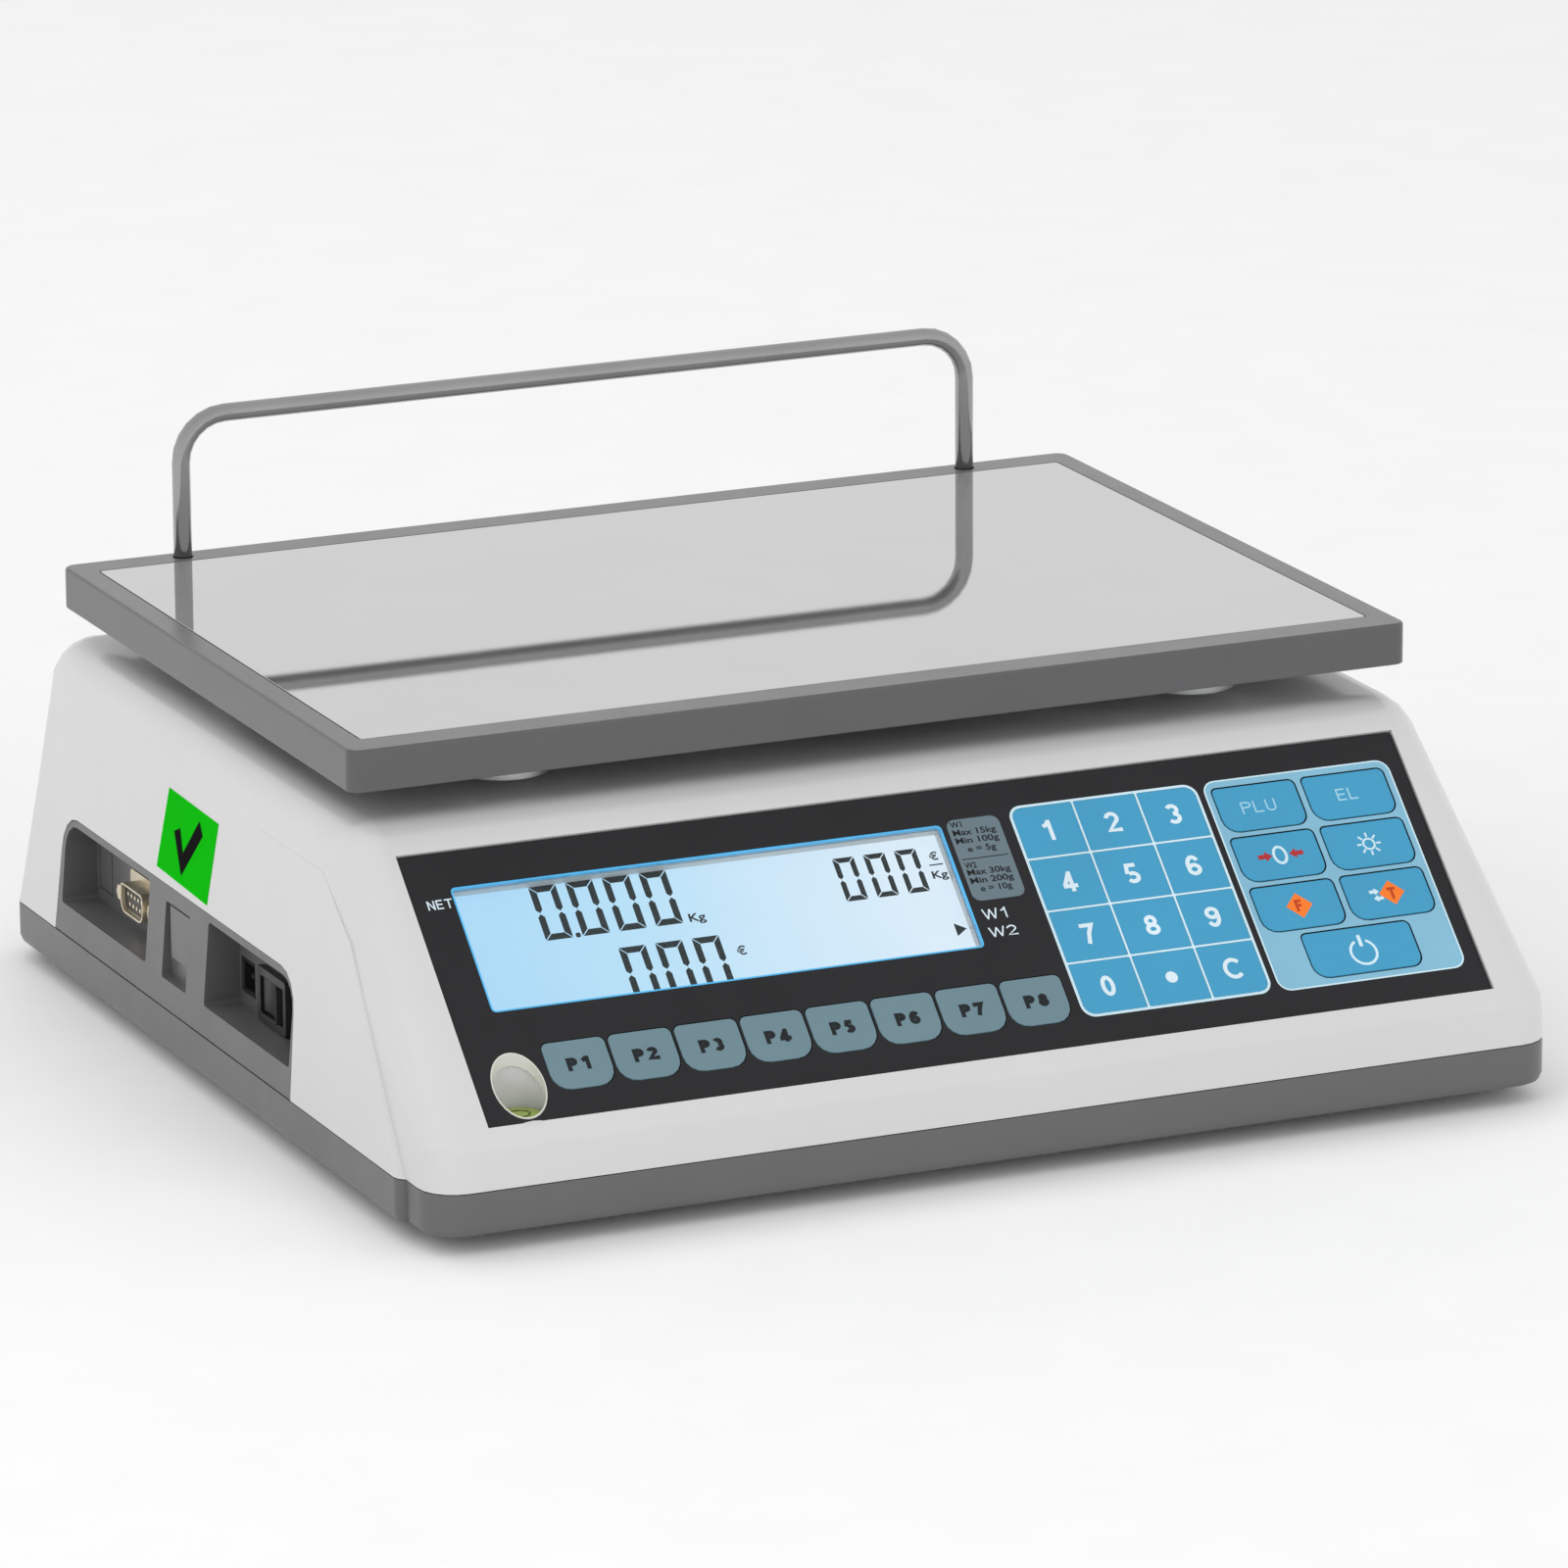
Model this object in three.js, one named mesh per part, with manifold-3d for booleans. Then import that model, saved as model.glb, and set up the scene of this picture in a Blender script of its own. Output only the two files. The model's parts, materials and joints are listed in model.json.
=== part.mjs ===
// Retail price scale: a wedge-shaped desktop scale with a polished weighing plate and a wire guard rail at
// its back, a sloping keypad and display at the front, a second display on the back wall and a row of
// sockets and a power switch on the left side.
// Millimetres, +Z up, -Y towards the person who presses the keys, origin on the table under the middle.

import * as THREE from 'three';
import { ConvexGeometry } from 'three/addons/geometries/ConvexGeometry.js';
import { mergeVertices } from 'three/addons/utils/BufferGeometryUtils.js';
import Module from 'manifold-3d';

const wasm = await Module();
wasm.setup();

// ---------------------------------------------------------------- driving dimensions

const GAP = 0.3;                                 // clearance between neighbouring pieces

// Body, from the table up.
const FOOT_HEIGHT = 4.5;
const BASE_BOTTOM = 5;
const SEAM = 18;                                 // top edge of the base tray
const BASE_FLOOR = 7.5;
const BASE_WALL = 3;
const TOP_Z = 103;                               // flat top of the housing
const FRONT_Y = -168;
const BACK_Y = 168;                              // back wall at the seam
const BACK_LEAN = 0.264;                         // the back wall's lean forward per millimetre of height
const BODY_HALF = 173.7;                         // half width at the seam, in front of the side panels
const SIDE_LEAN = 0.051;
const CORNER_R = 11;                             // plan radius of the upright corners
const CREASE_R = 6;                              // between the upright front and the slope
const TOP_FRONT_R = 20;
const TOP_EDGE_R = 14;
const WALL = 2.5;
const SLOPE_WALL = 5.2;                          // thicker behind the recessed keypad
const BACK_WALL = 4;

// The raised panels on both sides of the body.
const PANEL_HALF = 176;
const PANEL_LEAN = 0.0862;
const PANEL_FRONT = -149;                        // front end of a side panel at the seam
const PANEL_BACK = 158;
const PANEL_ROUND = 4;                           // plan radius of its ends at the seam
const PANEL_SHOULDER = [[-104, 73], [-81, 88], [137, 88]];  // y and z of its upper corners

// Sloping front, with its own axes: x to the right, y up the slope, z out of it, from the keypad's middle.
const SLOPE = THREE.MathUtils.degToRad(42.9);
const SLOPE_Y = -131.7;
const SLOPE_Z = 65.4;
const OVERLAY = { width: 310.2, height: 88.4, top: -0.8, bottom: -2.7 };
const RECESS = 3;                                // depth of the overlay's seat in the slope
const LCD = { x0: -142.7, x1: 7.6, y0: -8.5, y1: 32.6, radius: 1.5 };
const LCD_DEPTH = 6;                             // display face below the slope
const LEVEL = { x: -142.3, y: -154.8, windowR: 7.9, wellR: 8.2, tubeR: 10, floor: 25, bottom: 23 };

// Keys: caps 1.1 thick that sink 0.4 into wells in the overlay.
const KEY_TOP = -0.65;
const KEY_BOTTOM = -1.75;
const WELL_FLOOR = -2.35;
const NUMBER_PAD = {
  columnEdges: [29.6, 49.5, 69.6, 88.2], y0: -35, y1: 35, radius: 3.6, rows: 4, groove: 0.7,
};
const FUNCTION_KEY = { width: 26.1, height: 14.8, x0: 93.1, pitchX: 28.7, yTop: 17.8, pitchY: 17 };
const POWER_KEY = { x0: 103.3, y0: -33.1, width: 34.1, height: 14.8 };
const PRESET_KEY = { x0: -132.4, y0: -35.6, width: 18.9, height: 15.3, pitch: 19.94, count: 8 };

// Weighing pan.
const PAN = { y: 25, width: 330, depth: 231, bottom: 112.3, top: 124.6, cornerR: 4, edgeR: 0.9, skirt: 2.5 };
const PLATE = { width: 314.4, depth: 208, thickness: 1 };
const DECK = { bottom: 120.5, top: 123.3 };
const RAIL = { x: 128.5, fromBack: 5.5, radius: 2.75, bend: 14, bar: 167.25, foot: 115 };
const ARM_END = { x: 108, y: 87.85, radius: 13.5, bottom: 106, top: 112 };
const ARM = { width: 20, bottom: 107, top: 111 };
const PAD = { radius: 9, bottom: 112.3, top: 120.2 };

// Load cell under the middle of the pan: one end stands on the base, the other carries the pan's support.
const CELL = { length: 130, width: 30, bottom: 47.9, top: 69.9 };
const PEDESTAL = { x0: -62, x1: -28 };
const POST = { x0: 30, x1: 62, half: 13, bottom: 70.5 };

const FOOT = {
  x: 140, yFront: -132, yBack: 135, radius: 13, stemR: 4, stemTop: 22, bossR: 7.5, bossTop: 16,
};
const SCREW = { x: 158, yFront: -135, yBack: 138, headR: 3.2, shankR: 1.5, top: 26 };
const BATTERY = { width: 101, depth: 70, height: 47, y: 100 };
const HATCH = { width: 112, depth: 78 };

// Socket panel on the left side. Its outline and pockets are given by y and z.
const SOCKETS = {
  back: 123.4, front: -67.3, top: 54, radius: 11, taper: 1.6, inner: -161, pocketWall: -163.5,
};
const POCKET_BACK = { y0: 49.8, y1: 119.8, z0: 27.2, z1: 51.9, radii: [1.2, 1.2, 8.5, 1.2] };
const POCKET_FRONT = { y0: -64.4, y1: 2.4, z0: 27, z1: 51.8, radii: [1.2, 1.2, 1.2, 8.5] };
const BLANK_RECESS = { y0: 17, y1: 36.3, z0: 26.6, z1: 49.3, depth: 2.4, radii: [0.8, 0.8, 0.8, 0.8] };
const BLANK_COVER = { y0: 16, y1: 32.8, z0: 33.2, z1: 48.8, height: 1.3 };
const KNOCK_OUT = { y0: 107, y1: 118, z0: 30.6, z1: 47.5, groove: 0.7 };
const SERIAL = {
  y: 72.7, z: 38.5, flange: 30.8, flangeHeight: 12.5, shell: 18.3, shellHeight: 9, postSpacing: 12.5,
};
const JACK = { y: -3.8, z: 35.8, width: 10.8, height: 10, wall: 1.2 };
const SWITCH = { y: -28, z: 35.5, bezel: 21.9, bezelHeight: 16.4, face: -165.9, pivotX: -162, tilt: 9 };

// Display on the back wall, with its own axes like the slope's.
const REAR = { z: 56, width: 204, height: 54, recess: 1.9, window: 150.3, windowHeight: 41.1 };

// ---------------------------------------------------------------- materials

function finish(color, roughness, metalness = 0) {
  return new THREE.MeshStandardMaterial({ color, roughness, metalness });
}

const PAINT = {
  housing: finish(0xd6d6d4, 0.4),
  base: finish(0x77777a, 0.55),
  pan: finish(0x707073, 0.5),
  steel: finish(0xcfcfd0, 0.12, 1),
  rod: finish(0x9a9b9d, 0.25, 1),
  aluminium: finish(0xb4b7ba, 0.45, 1),
  rubber: finish(0x2a2a2b, 0.85),
  overlay: finish(0x37373a, 0.5),
  glass: finish(0xbfdcee, 0.1),
  display: finish(0xb7def6, 0.3),
  board: finish(0x1f5c38, 0.6),
  vial: finish(0xa6cf4f, 0.15),
  battery: finish(0x3a3d42, 0.6),
  black: finish(0x161617, 0.4),
  tin: finish(0xd9c79a, 0.3, 1),
  blueKey: finish(0x4c9fcb, 0.5),
  greyKey: finish(0x718995, 0.5),
  screw: finish(0x8d8f92, 0.35, 1),
};

// ---------------------------------------------------------------- solids

function solid(geometry) {
  geometry.deleteAttribute('normal');
  geometry.deleteAttribute('uv');
  const merged = mergeVertices(geometry, 1e-4);
  const mesh = new wasm.Mesh({
    numProp: 3,
    vertProperties: Float32Array.from(merged.attributes.position.array),
    triVerts: Uint32Array.from(merged.index.array),
  });
  return new wasm.Manifold(mesh);
}

function toGeometry(body) {
  const mesh = body.simplify(0.005).getMesh();
  const geometry = new THREE.BufferGeometry();
  geometry.setAttribute('position', new THREE.BufferAttribute(mesh.vertProperties, 3));
  geometry.setIndex(new THREE.BufferAttribute(mesh.triVerts, 1));
  geometry.computeVertexNormals();
  return geometry;
}

function join(...bodies) {
  return bodies.reduce((sum, body) => sum.add(body));
}

function cut(body, ...tools) {
  return tools.reduce((rest, tool) => rest.subtract(tool), body);
}

function block(x0, x1, y0, y1, z0, z1) {
  const geometry = new THREE.BoxGeometry(x1 - x0, y1 - y0, z1 - z0);
  geometry.translate((x0 + x1) / 2, (y0 + y1) / 2, (z0 + z1) / 2);
  return geometry;
}

// An upright cylinder from z0 to z1.
function rod(radius, z0, z1, x = 0, y = 0, sides = 20) {
  const geometry = new THREE.CylinderGeometry(radius, radius, z1 - z0, sides);
  geometry.rotateX(Math.PI / 2);
  geometry.translate(x, y, (z0 + z1) / 2);
  return geometry;
}

// A rectangle with its own radius at each corner: bottom left, bottom right, top right, top left.
function roundedShape(x0, y0, x1, y1, radii) {
  const [bottomLeft, bottomRight, topRight, topLeft] = Array.isArray(radii) ? radii : Array(4).fill(radii);
  const shape = new THREE.Shape();
  shape.absarc(x0 + bottomLeft, y0 + bottomLeft, bottomLeft, Math.PI, 1.5 * Math.PI);
  shape.absarc(x1 - bottomRight, y0 + bottomRight, bottomRight, 1.5 * Math.PI, 2 * Math.PI);
  shape.absarc(x1 - topRight, y1 - topRight, topRight, 0, 0.5 * Math.PI);
  shape.absarc(x0 + topLeft, y1 - topLeft, topLeft, 0.5 * Math.PI, Math.PI);
  shape.closePath();
  return shape;
}

function plate(shape, z0, z1, curveSegments = 2) {
  const geometry = new THREE.ExtrudeGeometry(shape, { depth: z1 - z0, bevelEnabled: false, curveSegments });
  geometry.translate(0, 0, z0);
  return geometry;
}

// A plate drawn in y and z, from x0 to x1.
const SIDEWAYS = new THREE.Matrix4().makeBasis(
  new THREE.Vector3(0, 1, 0),
  new THREE.Vector3(0, 0, 1),
  new THREE.Vector3(1, 0, 0),
);

function sidePlate(shape, x0, x1, curveSegments = 2) {
  return plate(shape, x0, x1, curveSegments).applyMatrix4(SIDEWAYS);
}

const SLOPE_FRAME = new THREE.Matrix4().makeRotationX(SLOPE).setPosition(0, SLOPE_Y, SLOPE_Z);

const REAR_FRAME = (() => {
  const lean = Math.atan(BACK_LEAN);
  const right = new THREE.Vector3(-1, 0, 0);
  const up = new THREE.Vector3(0, -Math.sin(lean), Math.cos(lean));
  const out = new THREE.Vector3(0, Math.cos(lean), Math.sin(lean));
  const frame = new THREE.Matrix4().makeBasis(right, up, out);
  return frame.setPosition(0, backFace(REAR.z), REAR.z);
})();

// ---------------------------------------------------------------- object

const scale = new THREE.Group();
const slopeGroup = new THREE.Group();
slopeGroup.rotation.x = SLOPE;
slopeGroup.position.set(0, SLOPE_Y, SLOPE_Z);
const rearGroup = new THREE.Group();
rearGroup.applyMatrix4(REAR_FRAME);
scale.add(slopeGroup, rearGroup);

function addPart(name, shape, material, parent = scale) {
  const geometry = shape.isBufferGeometry ? toGeometry(solid(shape)) : toGeometry(shape);
  const mesh = new THREE.Mesh(geometry, material);
  mesh.name = name;
  parent.add(mesh);
  return mesh;
}

// ---------------------------------------------------------------- body shape

function bodyHalf(z) {
  return BODY_HALF - SIDE_LEAN * (z - SEAM);
}

function backFace(z) {
  return BACK_Y - BACK_LEAN * (z - SEAM);
}

function panelHalf(z) {
  return PANEL_HALF - PANEL_LEAN * (z - SEAM);
}

// Where the slope, moved in by depth, stands at a height, and the other way round.
function slopeYAt(z, depth) {
  return SLOPE_Y + (Math.cos(SLOPE) * (z - SLOPE_Z) + depth) / Math.sin(SLOPE);
}

function slopeZAt(y, depth) {
  return SLOPE_Z + (Math.sin(SLOPE) * (y - SLOPE_Y) - depth) / Math.cos(SLOPE);
}

// Points on both rounded corners at x and -x. The corner is an eighth of an ellipsoid, or of a torus where
// the plan radius is larger than the edge radius.
function cornerPoints(points, { x, y, z }, towardsY, plan, edge, maxElevation = Math.PI / 2) {
  const steps = 5;
  for (let i = 0; i <= steps; i++) {
    for (let j = 0; j <= steps; j++) {
      const azimuth = (i / steps) * Math.PI / 2;
      const elevation = (j / steps) * maxElevation;
      const reachX = plan.x - edge.x + edge.x * Math.cos(elevation);
      const reachY = plan.y - edge.y + edge.y * Math.cos(elevation);
      const px = x + reachX * Math.cos(azimuth);
      const py = y + towardsY * reachY * Math.sin(azimuth);
      const pz = z + edge.z * Math.sin(elevation);
      points.push(new THREE.Vector3(px, py, pz), new THREE.Vector3(-px, py, pz));
    }
  }
}

function planCorner(points, x, y, z, towardsY, radius) {
  const flat = { x: radius, y: radius };
  cornerPoints(points, { x, y, z }, towardsY, flat, { x: 0, y: 0, z: 0 }, 0);
}

// The wedge of the body, moved in by inset at sides, front and top, and by other depths at slope and back.
function wedge(inset, slopeInset, backInset, bottom) {
  const points = [];
  const corner = CORNER_R - inset;
  planCorner(points, bodyHalf(bottom) - CORNER_R, FRONT_Y + CORNER_R, bottom, -1, corner);
  planCorner(points, bodyHalf(bottom) - CORNER_R, backFace(bottom) - backInset - corner, bottom, 1, corner);

  const crease = CREASE_R - inset;
  const creaseZ = slopeZAt(FRONT_Y + CREASE_R, slopeInset + crease);
  const creaseCentre = { x: bodyHalf(creaseZ) - CORNER_R, y: FRONT_Y + CORNER_R, z: creaseZ };
  const plan = { x: corner, y: corner };
  cornerPoints(points, creaseCentre, -1, plan, { x: crease, y: crease, z: crease }, Math.PI / 2 - SLOPE);

  const front = TOP_FRONT_R - inset;
  const side = TOP_EDGE_R - inset;
  const frontZ = TOP_Z - TOP_FRONT_R;
  const frontY = slopeYAt(frontZ, slopeInset + front);
  const frontCentre = { x: bodyHalf(frontZ) - TOP_EDGE_R, y: frontY, z: frontZ };
  cornerPoints(points, frontCentre, -1, { x: side, y: front }, { x: side, y: front, z: front });

  const backZ = TOP_Z - TOP_EDGE_R;
  const backReach = backInset + side * Math.hypot(1, BACK_LEAN);
  const backCentre = { x: bodyHalf(backZ) - TOP_EDGE_R, y: backFace(backZ) - backReach, z: backZ };
  cornerPoints(points, backCentre, 1, { x: side, y: side }, { x: side, y: side, z: side });
  return solid(new ConvexGeometry(points));
}

// The raised panel on one side, a thin wedge that fades into the body near its top. Its front edge runs
// nearly parallel to the slope.
function sidePanel(side) {
  const root = 150;
  const points = [];
  const add = (x, y, z) => points.push(new THREE.Vector3(side * x, y, z));
  const bottom = SEAM + GAP;
  const steps = 3;
  for (let i = 0; i <= steps; i++) {
    const angle = (i / steps) * Math.PI / 2;
    const x = panelHalf(bottom) - PANEL_ROUND * (1 - Math.cos(angle));
    const retreat = PANEL_ROUND * (1 - Math.sin(angle));
    add(x, PANEL_FRONT + retreat, bottom);
    add(x, PANEL_BACK - retreat, bottom);
  }
  add(root, PANEL_FRONT, bottom);
  add(root, PANEL_BACK, bottom);
  for (const [y, z] of PANEL_SHOULDER) {
    add(panelHalf(z), y, z);
    add(root, y, z);
  }
  return solid(new ConvexGeometry(points));
}

// ---------------------------------------------------------------- top housing

function socketOutline(grow) {
  const { back, front, top, radius, taper } = SOCKETS;
  const bottom = SEAM + GAP;
  const shape = new THREE.Shape();
  shape.moveTo(front - grow, bottom - grow);
  shape.lineTo(back + grow, bottom - grow);
  shape.lineTo(back - taper + grow, top - radius);
  shape.absarc(back - taper - radius, top - radius, radius + grow, 0, Math.PI / 2);
  shape.absarc(front + taper + radius, top - radius, radius + grow, Math.PI / 2, Math.PI);
  shape.closePath();
  return shape;
}

function corners(item) {
  return [[-item.x, item.yFront], [item.x, item.yFront], [-item.x, item.yBack], [item.x, item.yBack]];
}

function slopeCut(x0, x1, y0, y1, z0, z1) {
  return solid(block(x0, x1, y0, y1, z0, z1).applyMatrix4(SLOPE_FRAME));
}

function rearCut(halfWidth, halfHeight, z0, z1) {
  return solid(block(-halfWidth, halfWidth, -halfHeight, halfHeight, z0, z1).applyMatrix4(REAR_FRAME));
}

function makeTopHousing() {
  const bottom = SEAM + GAP;
  const through = 20;
  const outer = join(wedge(0, 0, 0, bottom), sidePanel(1), sidePanel(-1));
  const inner = wedge(WALL, SLOPE_WALL, BACK_WALL, bottom - 1);
  const bosses = corners(SCREW).map(([x, y]) => solid(rod(4.5, 10.4, TOP_Z, x, y, 16)));
  const levelTube = solid(rod(LEVEL.tubeR, LEVEL.bottom, TOP_Z, LEVEL.x, LEVEL.y, 28));
  const belowTop = solid(block(-170, 170, -166, 150, 10, 50));
  const fittings = join(...bosses, levelTube).intersect(join(outer, belowTop));
  const shell = cut(outer, inner).add(fittings);

  const seatX = OVERLAY.width / 2 + GAP;
  const seatY = OVERLAY.height / 2 + GAP;
  const rim = 0.8;
  const pilots = corners(SCREW).map(([x, y]) => solid(rod(SCREW.shankR + GAP, 9, 30, x, y, 12)));
  return cut(
    shell,
    slopeCut(-seatX, seatX, -seatY, seatY, -RECESS, through),
    slopeCut(LCD.x0 + rim, LCD.x1 - rim, LCD.y0 + rim, LCD.y1 - rim, -through, through),
    solid(rod(LEVEL.wellR, LEVEL.floor, TOP_Z, LEVEL.x, LEVEL.y, 28)),
    solid(sidePlate(socketOutline(GAP), -190, -160)),
    rearCut(REAR.width / 2 + GAP, REAR.height / 2 + GAP, -REAR.recess, through),
    rearCut(REAR.window / 2 - rim, REAR.windowHeight / 2 - rim, -through, through),
    solid(plate(roundedShape(26, 6, 66, 40, 4), TOP_Z - 10, TOP_Z + 10)),
    ...pilots,
  );
}

addPart('top_housing', makeTopHousing(), PAINT.housing);

// ---------------------------------------------------------------- base tray

// A flat slab of the body's outline between two heights, with its lower edge rounded.
function traySlab(inset, z0, z1, edge) {
  const rounded = [[z0, edge], [z0 + 0.3 * edge, 0.3 * edge], [z0 + edge, 0], [z1, 0]];
  const rings = edge ? rounded : [[z0, 0], [z1, 0]];
  const body = [];
  for (const [z, shrink] of rings) {
    const radius = Math.max(CORNER_R - inset - shrink, 1);
    planCorner(body, BODY_HALF - CORNER_R, FRONT_Y + CORNER_R, z, -1, radius);
    planCorner(body, BODY_HALF - CORNER_R, BACK_Y - CORNER_R, z, 1, radius);
  }
  const panels = [];
  for (const [z, shrink] of rings) {
    const radius = Math.max(PANEL_ROUND - inset - shrink, 0.5);
    const reach = PANEL_HALF - inset - shrink - radius;
    planCorner(panels, reach, PANEL_FRONT + inset + shrink + radius, z, -1, radius);
    planCorner(panels, reach, PANEL_BACK - inset - shrink - radius, z, 1, radius);
  }
  return join(solid(new ConvexGeometry(body)), solid(new ConvexGeometry(panels)));
}

function makeBaseTray() {
  const shell = cut(traySlab(0, BASE_BOTTOM, SEAM, 3), traySlab(BASE_WALL, BASE_FLOOR, SEAM + 5, 0));
  const half = CELL.width / 2;
  const pedestal = solid(block(PEDESTAL.x0, PEDESTAL.x1, PAN.y - half, PAN.y + half, 6, CELL.bottom - 0.4));
  const footBosses = corners(FOOT).map(([x, y]) => solid(rod(FOOT.bossR, 6, FOOT.bossTop, x, y)));
  const screwBosses = corners(SCREW).map(([x, y]) => solid(rod(6, 6, 10, x, y)));
  const footHoles = corners(FOOT).map(([x, y]) => solid(rod(FOOT.stemR + GAP, 4, 17, x, y)));
  const headHoles = corners(SCREW).map(([x, y]) => solid(rod(SCREW.headR + 0.5, 4, 7.6, x, y)));
  const shankHoles = corners(SCREW).map(([x, y]) => solid(rod(SCREW.shankR + GAP, 4, 11, x, y, 12)));
  const hatchShape = roundedShape(
    -HATCH.width / 2, BATTERY.y - HATCH.depth / 2, HATCH.width / 2, BATTERY.y + HATCH.depth / 2, 3,
  );
  return cut(
    join(shell, pedestal, ...footBosses, ...screwBosses),
    ...footHoles,
    ...headHoles,
    ...shankHoles,
    solid(plate(hatchShape, 4, 9)),
  );
}

addPart('base_tray', makeBaseTray(), PAINT.base);

function makeFoot() {
  const profile = [
    [0, 0],
    [FOOT.radius - 1.5, 0],
    [FOOT.radius, 1],
    [FOOT.radius, 3],
    [FOOT.radius - 1.5, FOOT_HEIGHT],
    [FOOT.stemR, FOOT_HEIGHT],
    [FOOT.stemR, FOOT.stemTop],
    [0, FOOT.stemTop],
  ];
  const points = profile.map(([r, z]) => new THREE.Vector2(r, z));
  return new THREE.LatheGeometry(points, 20).rotateX(Math.PI / 2);
}

const FOOT_NAMES = ['front_left', 'front_right', 'back_left', 'back_right'];

corners(FOOT).forEach(([x, y], i) => {
  addPart(`foot_${FOOT_NAMES[i]}`, makeFoot(), PAINT.rubber).position.set(x, y, 0);
});

function makeHousingScrew() {
  const headTop = 7.2;
  const head = solid(rod(SCREW.headR, 5.3, headTop));
  const shank = solid(rod(SCREW.shankR, headTop - 0.5, SCREW.top, 0, 0, 12));
  const slotHalf = 0.45;
  const slots = join(
    solid(block(-2, 2, -slotHalf, slotHalf, 5, 6.2)),
    solid(block(-slotHalf, slotHalf, -2, 2, 5, 6.2)),
  );
  return cut(join(head, shank), slots);
}

corners(SCREW).forEach(([x, y], i) => {
  addPart(`housing_screw_${FOOT_NAMES[i]}`, makeHousingScrew(), PAINT.screw).position.set(x, y, 0);
});

const coverX = HATCH.width / 2 - 0.4;
const coverY = HATCH.depth / 2 - 0.4;
const coverShape = roundedShape(-coverX, BATTERY.y - coverY, coverX, BATTERY.y + coverY, 2.6);
addPart('battery_cover', plate(coverShape, 5.1, 7.3), PAINT.base);

function makeBattery() {
  const bottom = 8;
  const top = bottom + BATTERY.height;
  const x = BATTERY.width / 2;
  const y = BATTERY.depth / 2;
  const tab = (x) => solid(block(x - 3, x + 3, BATTERY.y - 30, BATTERY.y - 24, top - 1, top + 4));
  const tabs = [-30, 30].map(tab);
  return join(solid(block(-x, x, BATTERY.y - y, BATTERY.y + y, bottom, top)), ...tabs);
}

addPart('battery', makeBattery(), PAINT.battery);

// ---------------------------------------------------------------- load cell and pan support

// An aluminium beam with two round windows joined by a slot, where it bends.
function makeLoadCell() {
  const half = CELL.width / 2;
  const middle = (CELL.bottom + CELL.top) / 2;
  const window = (x) => {
    const bore = rod(7, -half - 1, half + 1, x, middle).rotateX(Math.PI / 2);
    return solid(bore.translate(0, PAN.y, 0));
  };
  const slot = solid(block(-12, 12, PAN.y - half - 1, PAN.y + half + 1, middle - 3, middle + 3));
  const end = CELL.length / 2;
  const beam = solid(block(-end, end, PAN.y - half, PAN.y + half, CELL.bottom, CELL.top));
  return cut(beam, window(-12), window(12), slot);
}

addPart('load_cell', makeLoadCell(), PAINT.aluminium);

function makePanSupport() {
  const armLength = Math.hypot(ARM_END.x, ARM_END.y);
  const post = solid(block(POST.x0, POST.x1, PAN.y - POST.half, PAN.y + POST.half, POST.bottom, ARM.top));
  const hub = solid(block(-66, 66, PAN.y - 22, PAN.y + 22, ARM.bottom, ARM.top));
  const arms = [];
  for (const side of [-1, 1]) {
    for (const end of [-1, 1]) {
      const arm = block(0, armLength, -ARM.width / 2, ARM.width / 2, ARM.bottom, ARM.top);
      arm.rotateZ(Math.atan2(end * ARM_END.y, side * ARM_END.x));
      arm.translate(0, PAN.y, 0);
      const x = side * ARM_END.x;
      const y = PAN.y + end * ARM_END.y;
      arms.push(solid(arm), solid(rod(ARM_END.radius, ARM_END.bottom, ARM_END.top, x, y, 28)));
    }
  }
  return join(post, hub, ...arms);
}

addPart('pan_support', makePanSupport(), PAINT.aluminium);

const PAD_SPOTS = corners({ x: ARM_END.x, yFront: PAN.y - ARM_END.y, yBack: PAN.y + ARM_END.y });

PAD_SPOTS.forEach(([x, y], i) => {
  const rounded = [[0, 0], [PAD.radius, 0], [PAD.radius, 6.4], [PAD.radius - 1.5, 7.9], [0, 7.9]];
  const points = rounded.map(([r, z]) => new THREE.Vector2(r, z));
  const pad = new THREE.LatheGeometry(points, 20).rotateX(Math.PI / 2);
  addPart(`support_pad_${FOOT_NAMES[i]}`, pad, PAINT.rubber).position.set(x, y, PAD.bottom);
});

// ---------------------------------------------------------------- weighing pan

function panShell() {
  const points = [];
  const x = PAN.width / 2 - PAN.cornerR;
  const y = PAN.depth / 2 - PAN.cornerR;
  const plan = { x: PAN.cornerR, y: PAN.cornerR };
  const edge = { x: PAN.edgeR, y: PAN.edgeR, z: PAN.edgeR };
  for (const end of [-1, 1]) {
    planCorner(points, x, end * y, PAN.bottom, end, PAN.cornerR);
    cornerPoints(points, { x, y: end * y, z: PAN.top - PAN.edgeR }, end, plan, edge);
  }
  return solid(new ConvexGeometry(points).translate(0, PAN.y, 0));
}

function panRectangle(width, depth, radius) {
  return roundedShape(-width / 2, PAN.y - depth / 2, width / 2, PAN.y + depth / 2, radius);
}

const RAIL_Y = PAN.y + PAN.depth / 2 - RAIL.fromBack;

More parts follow.
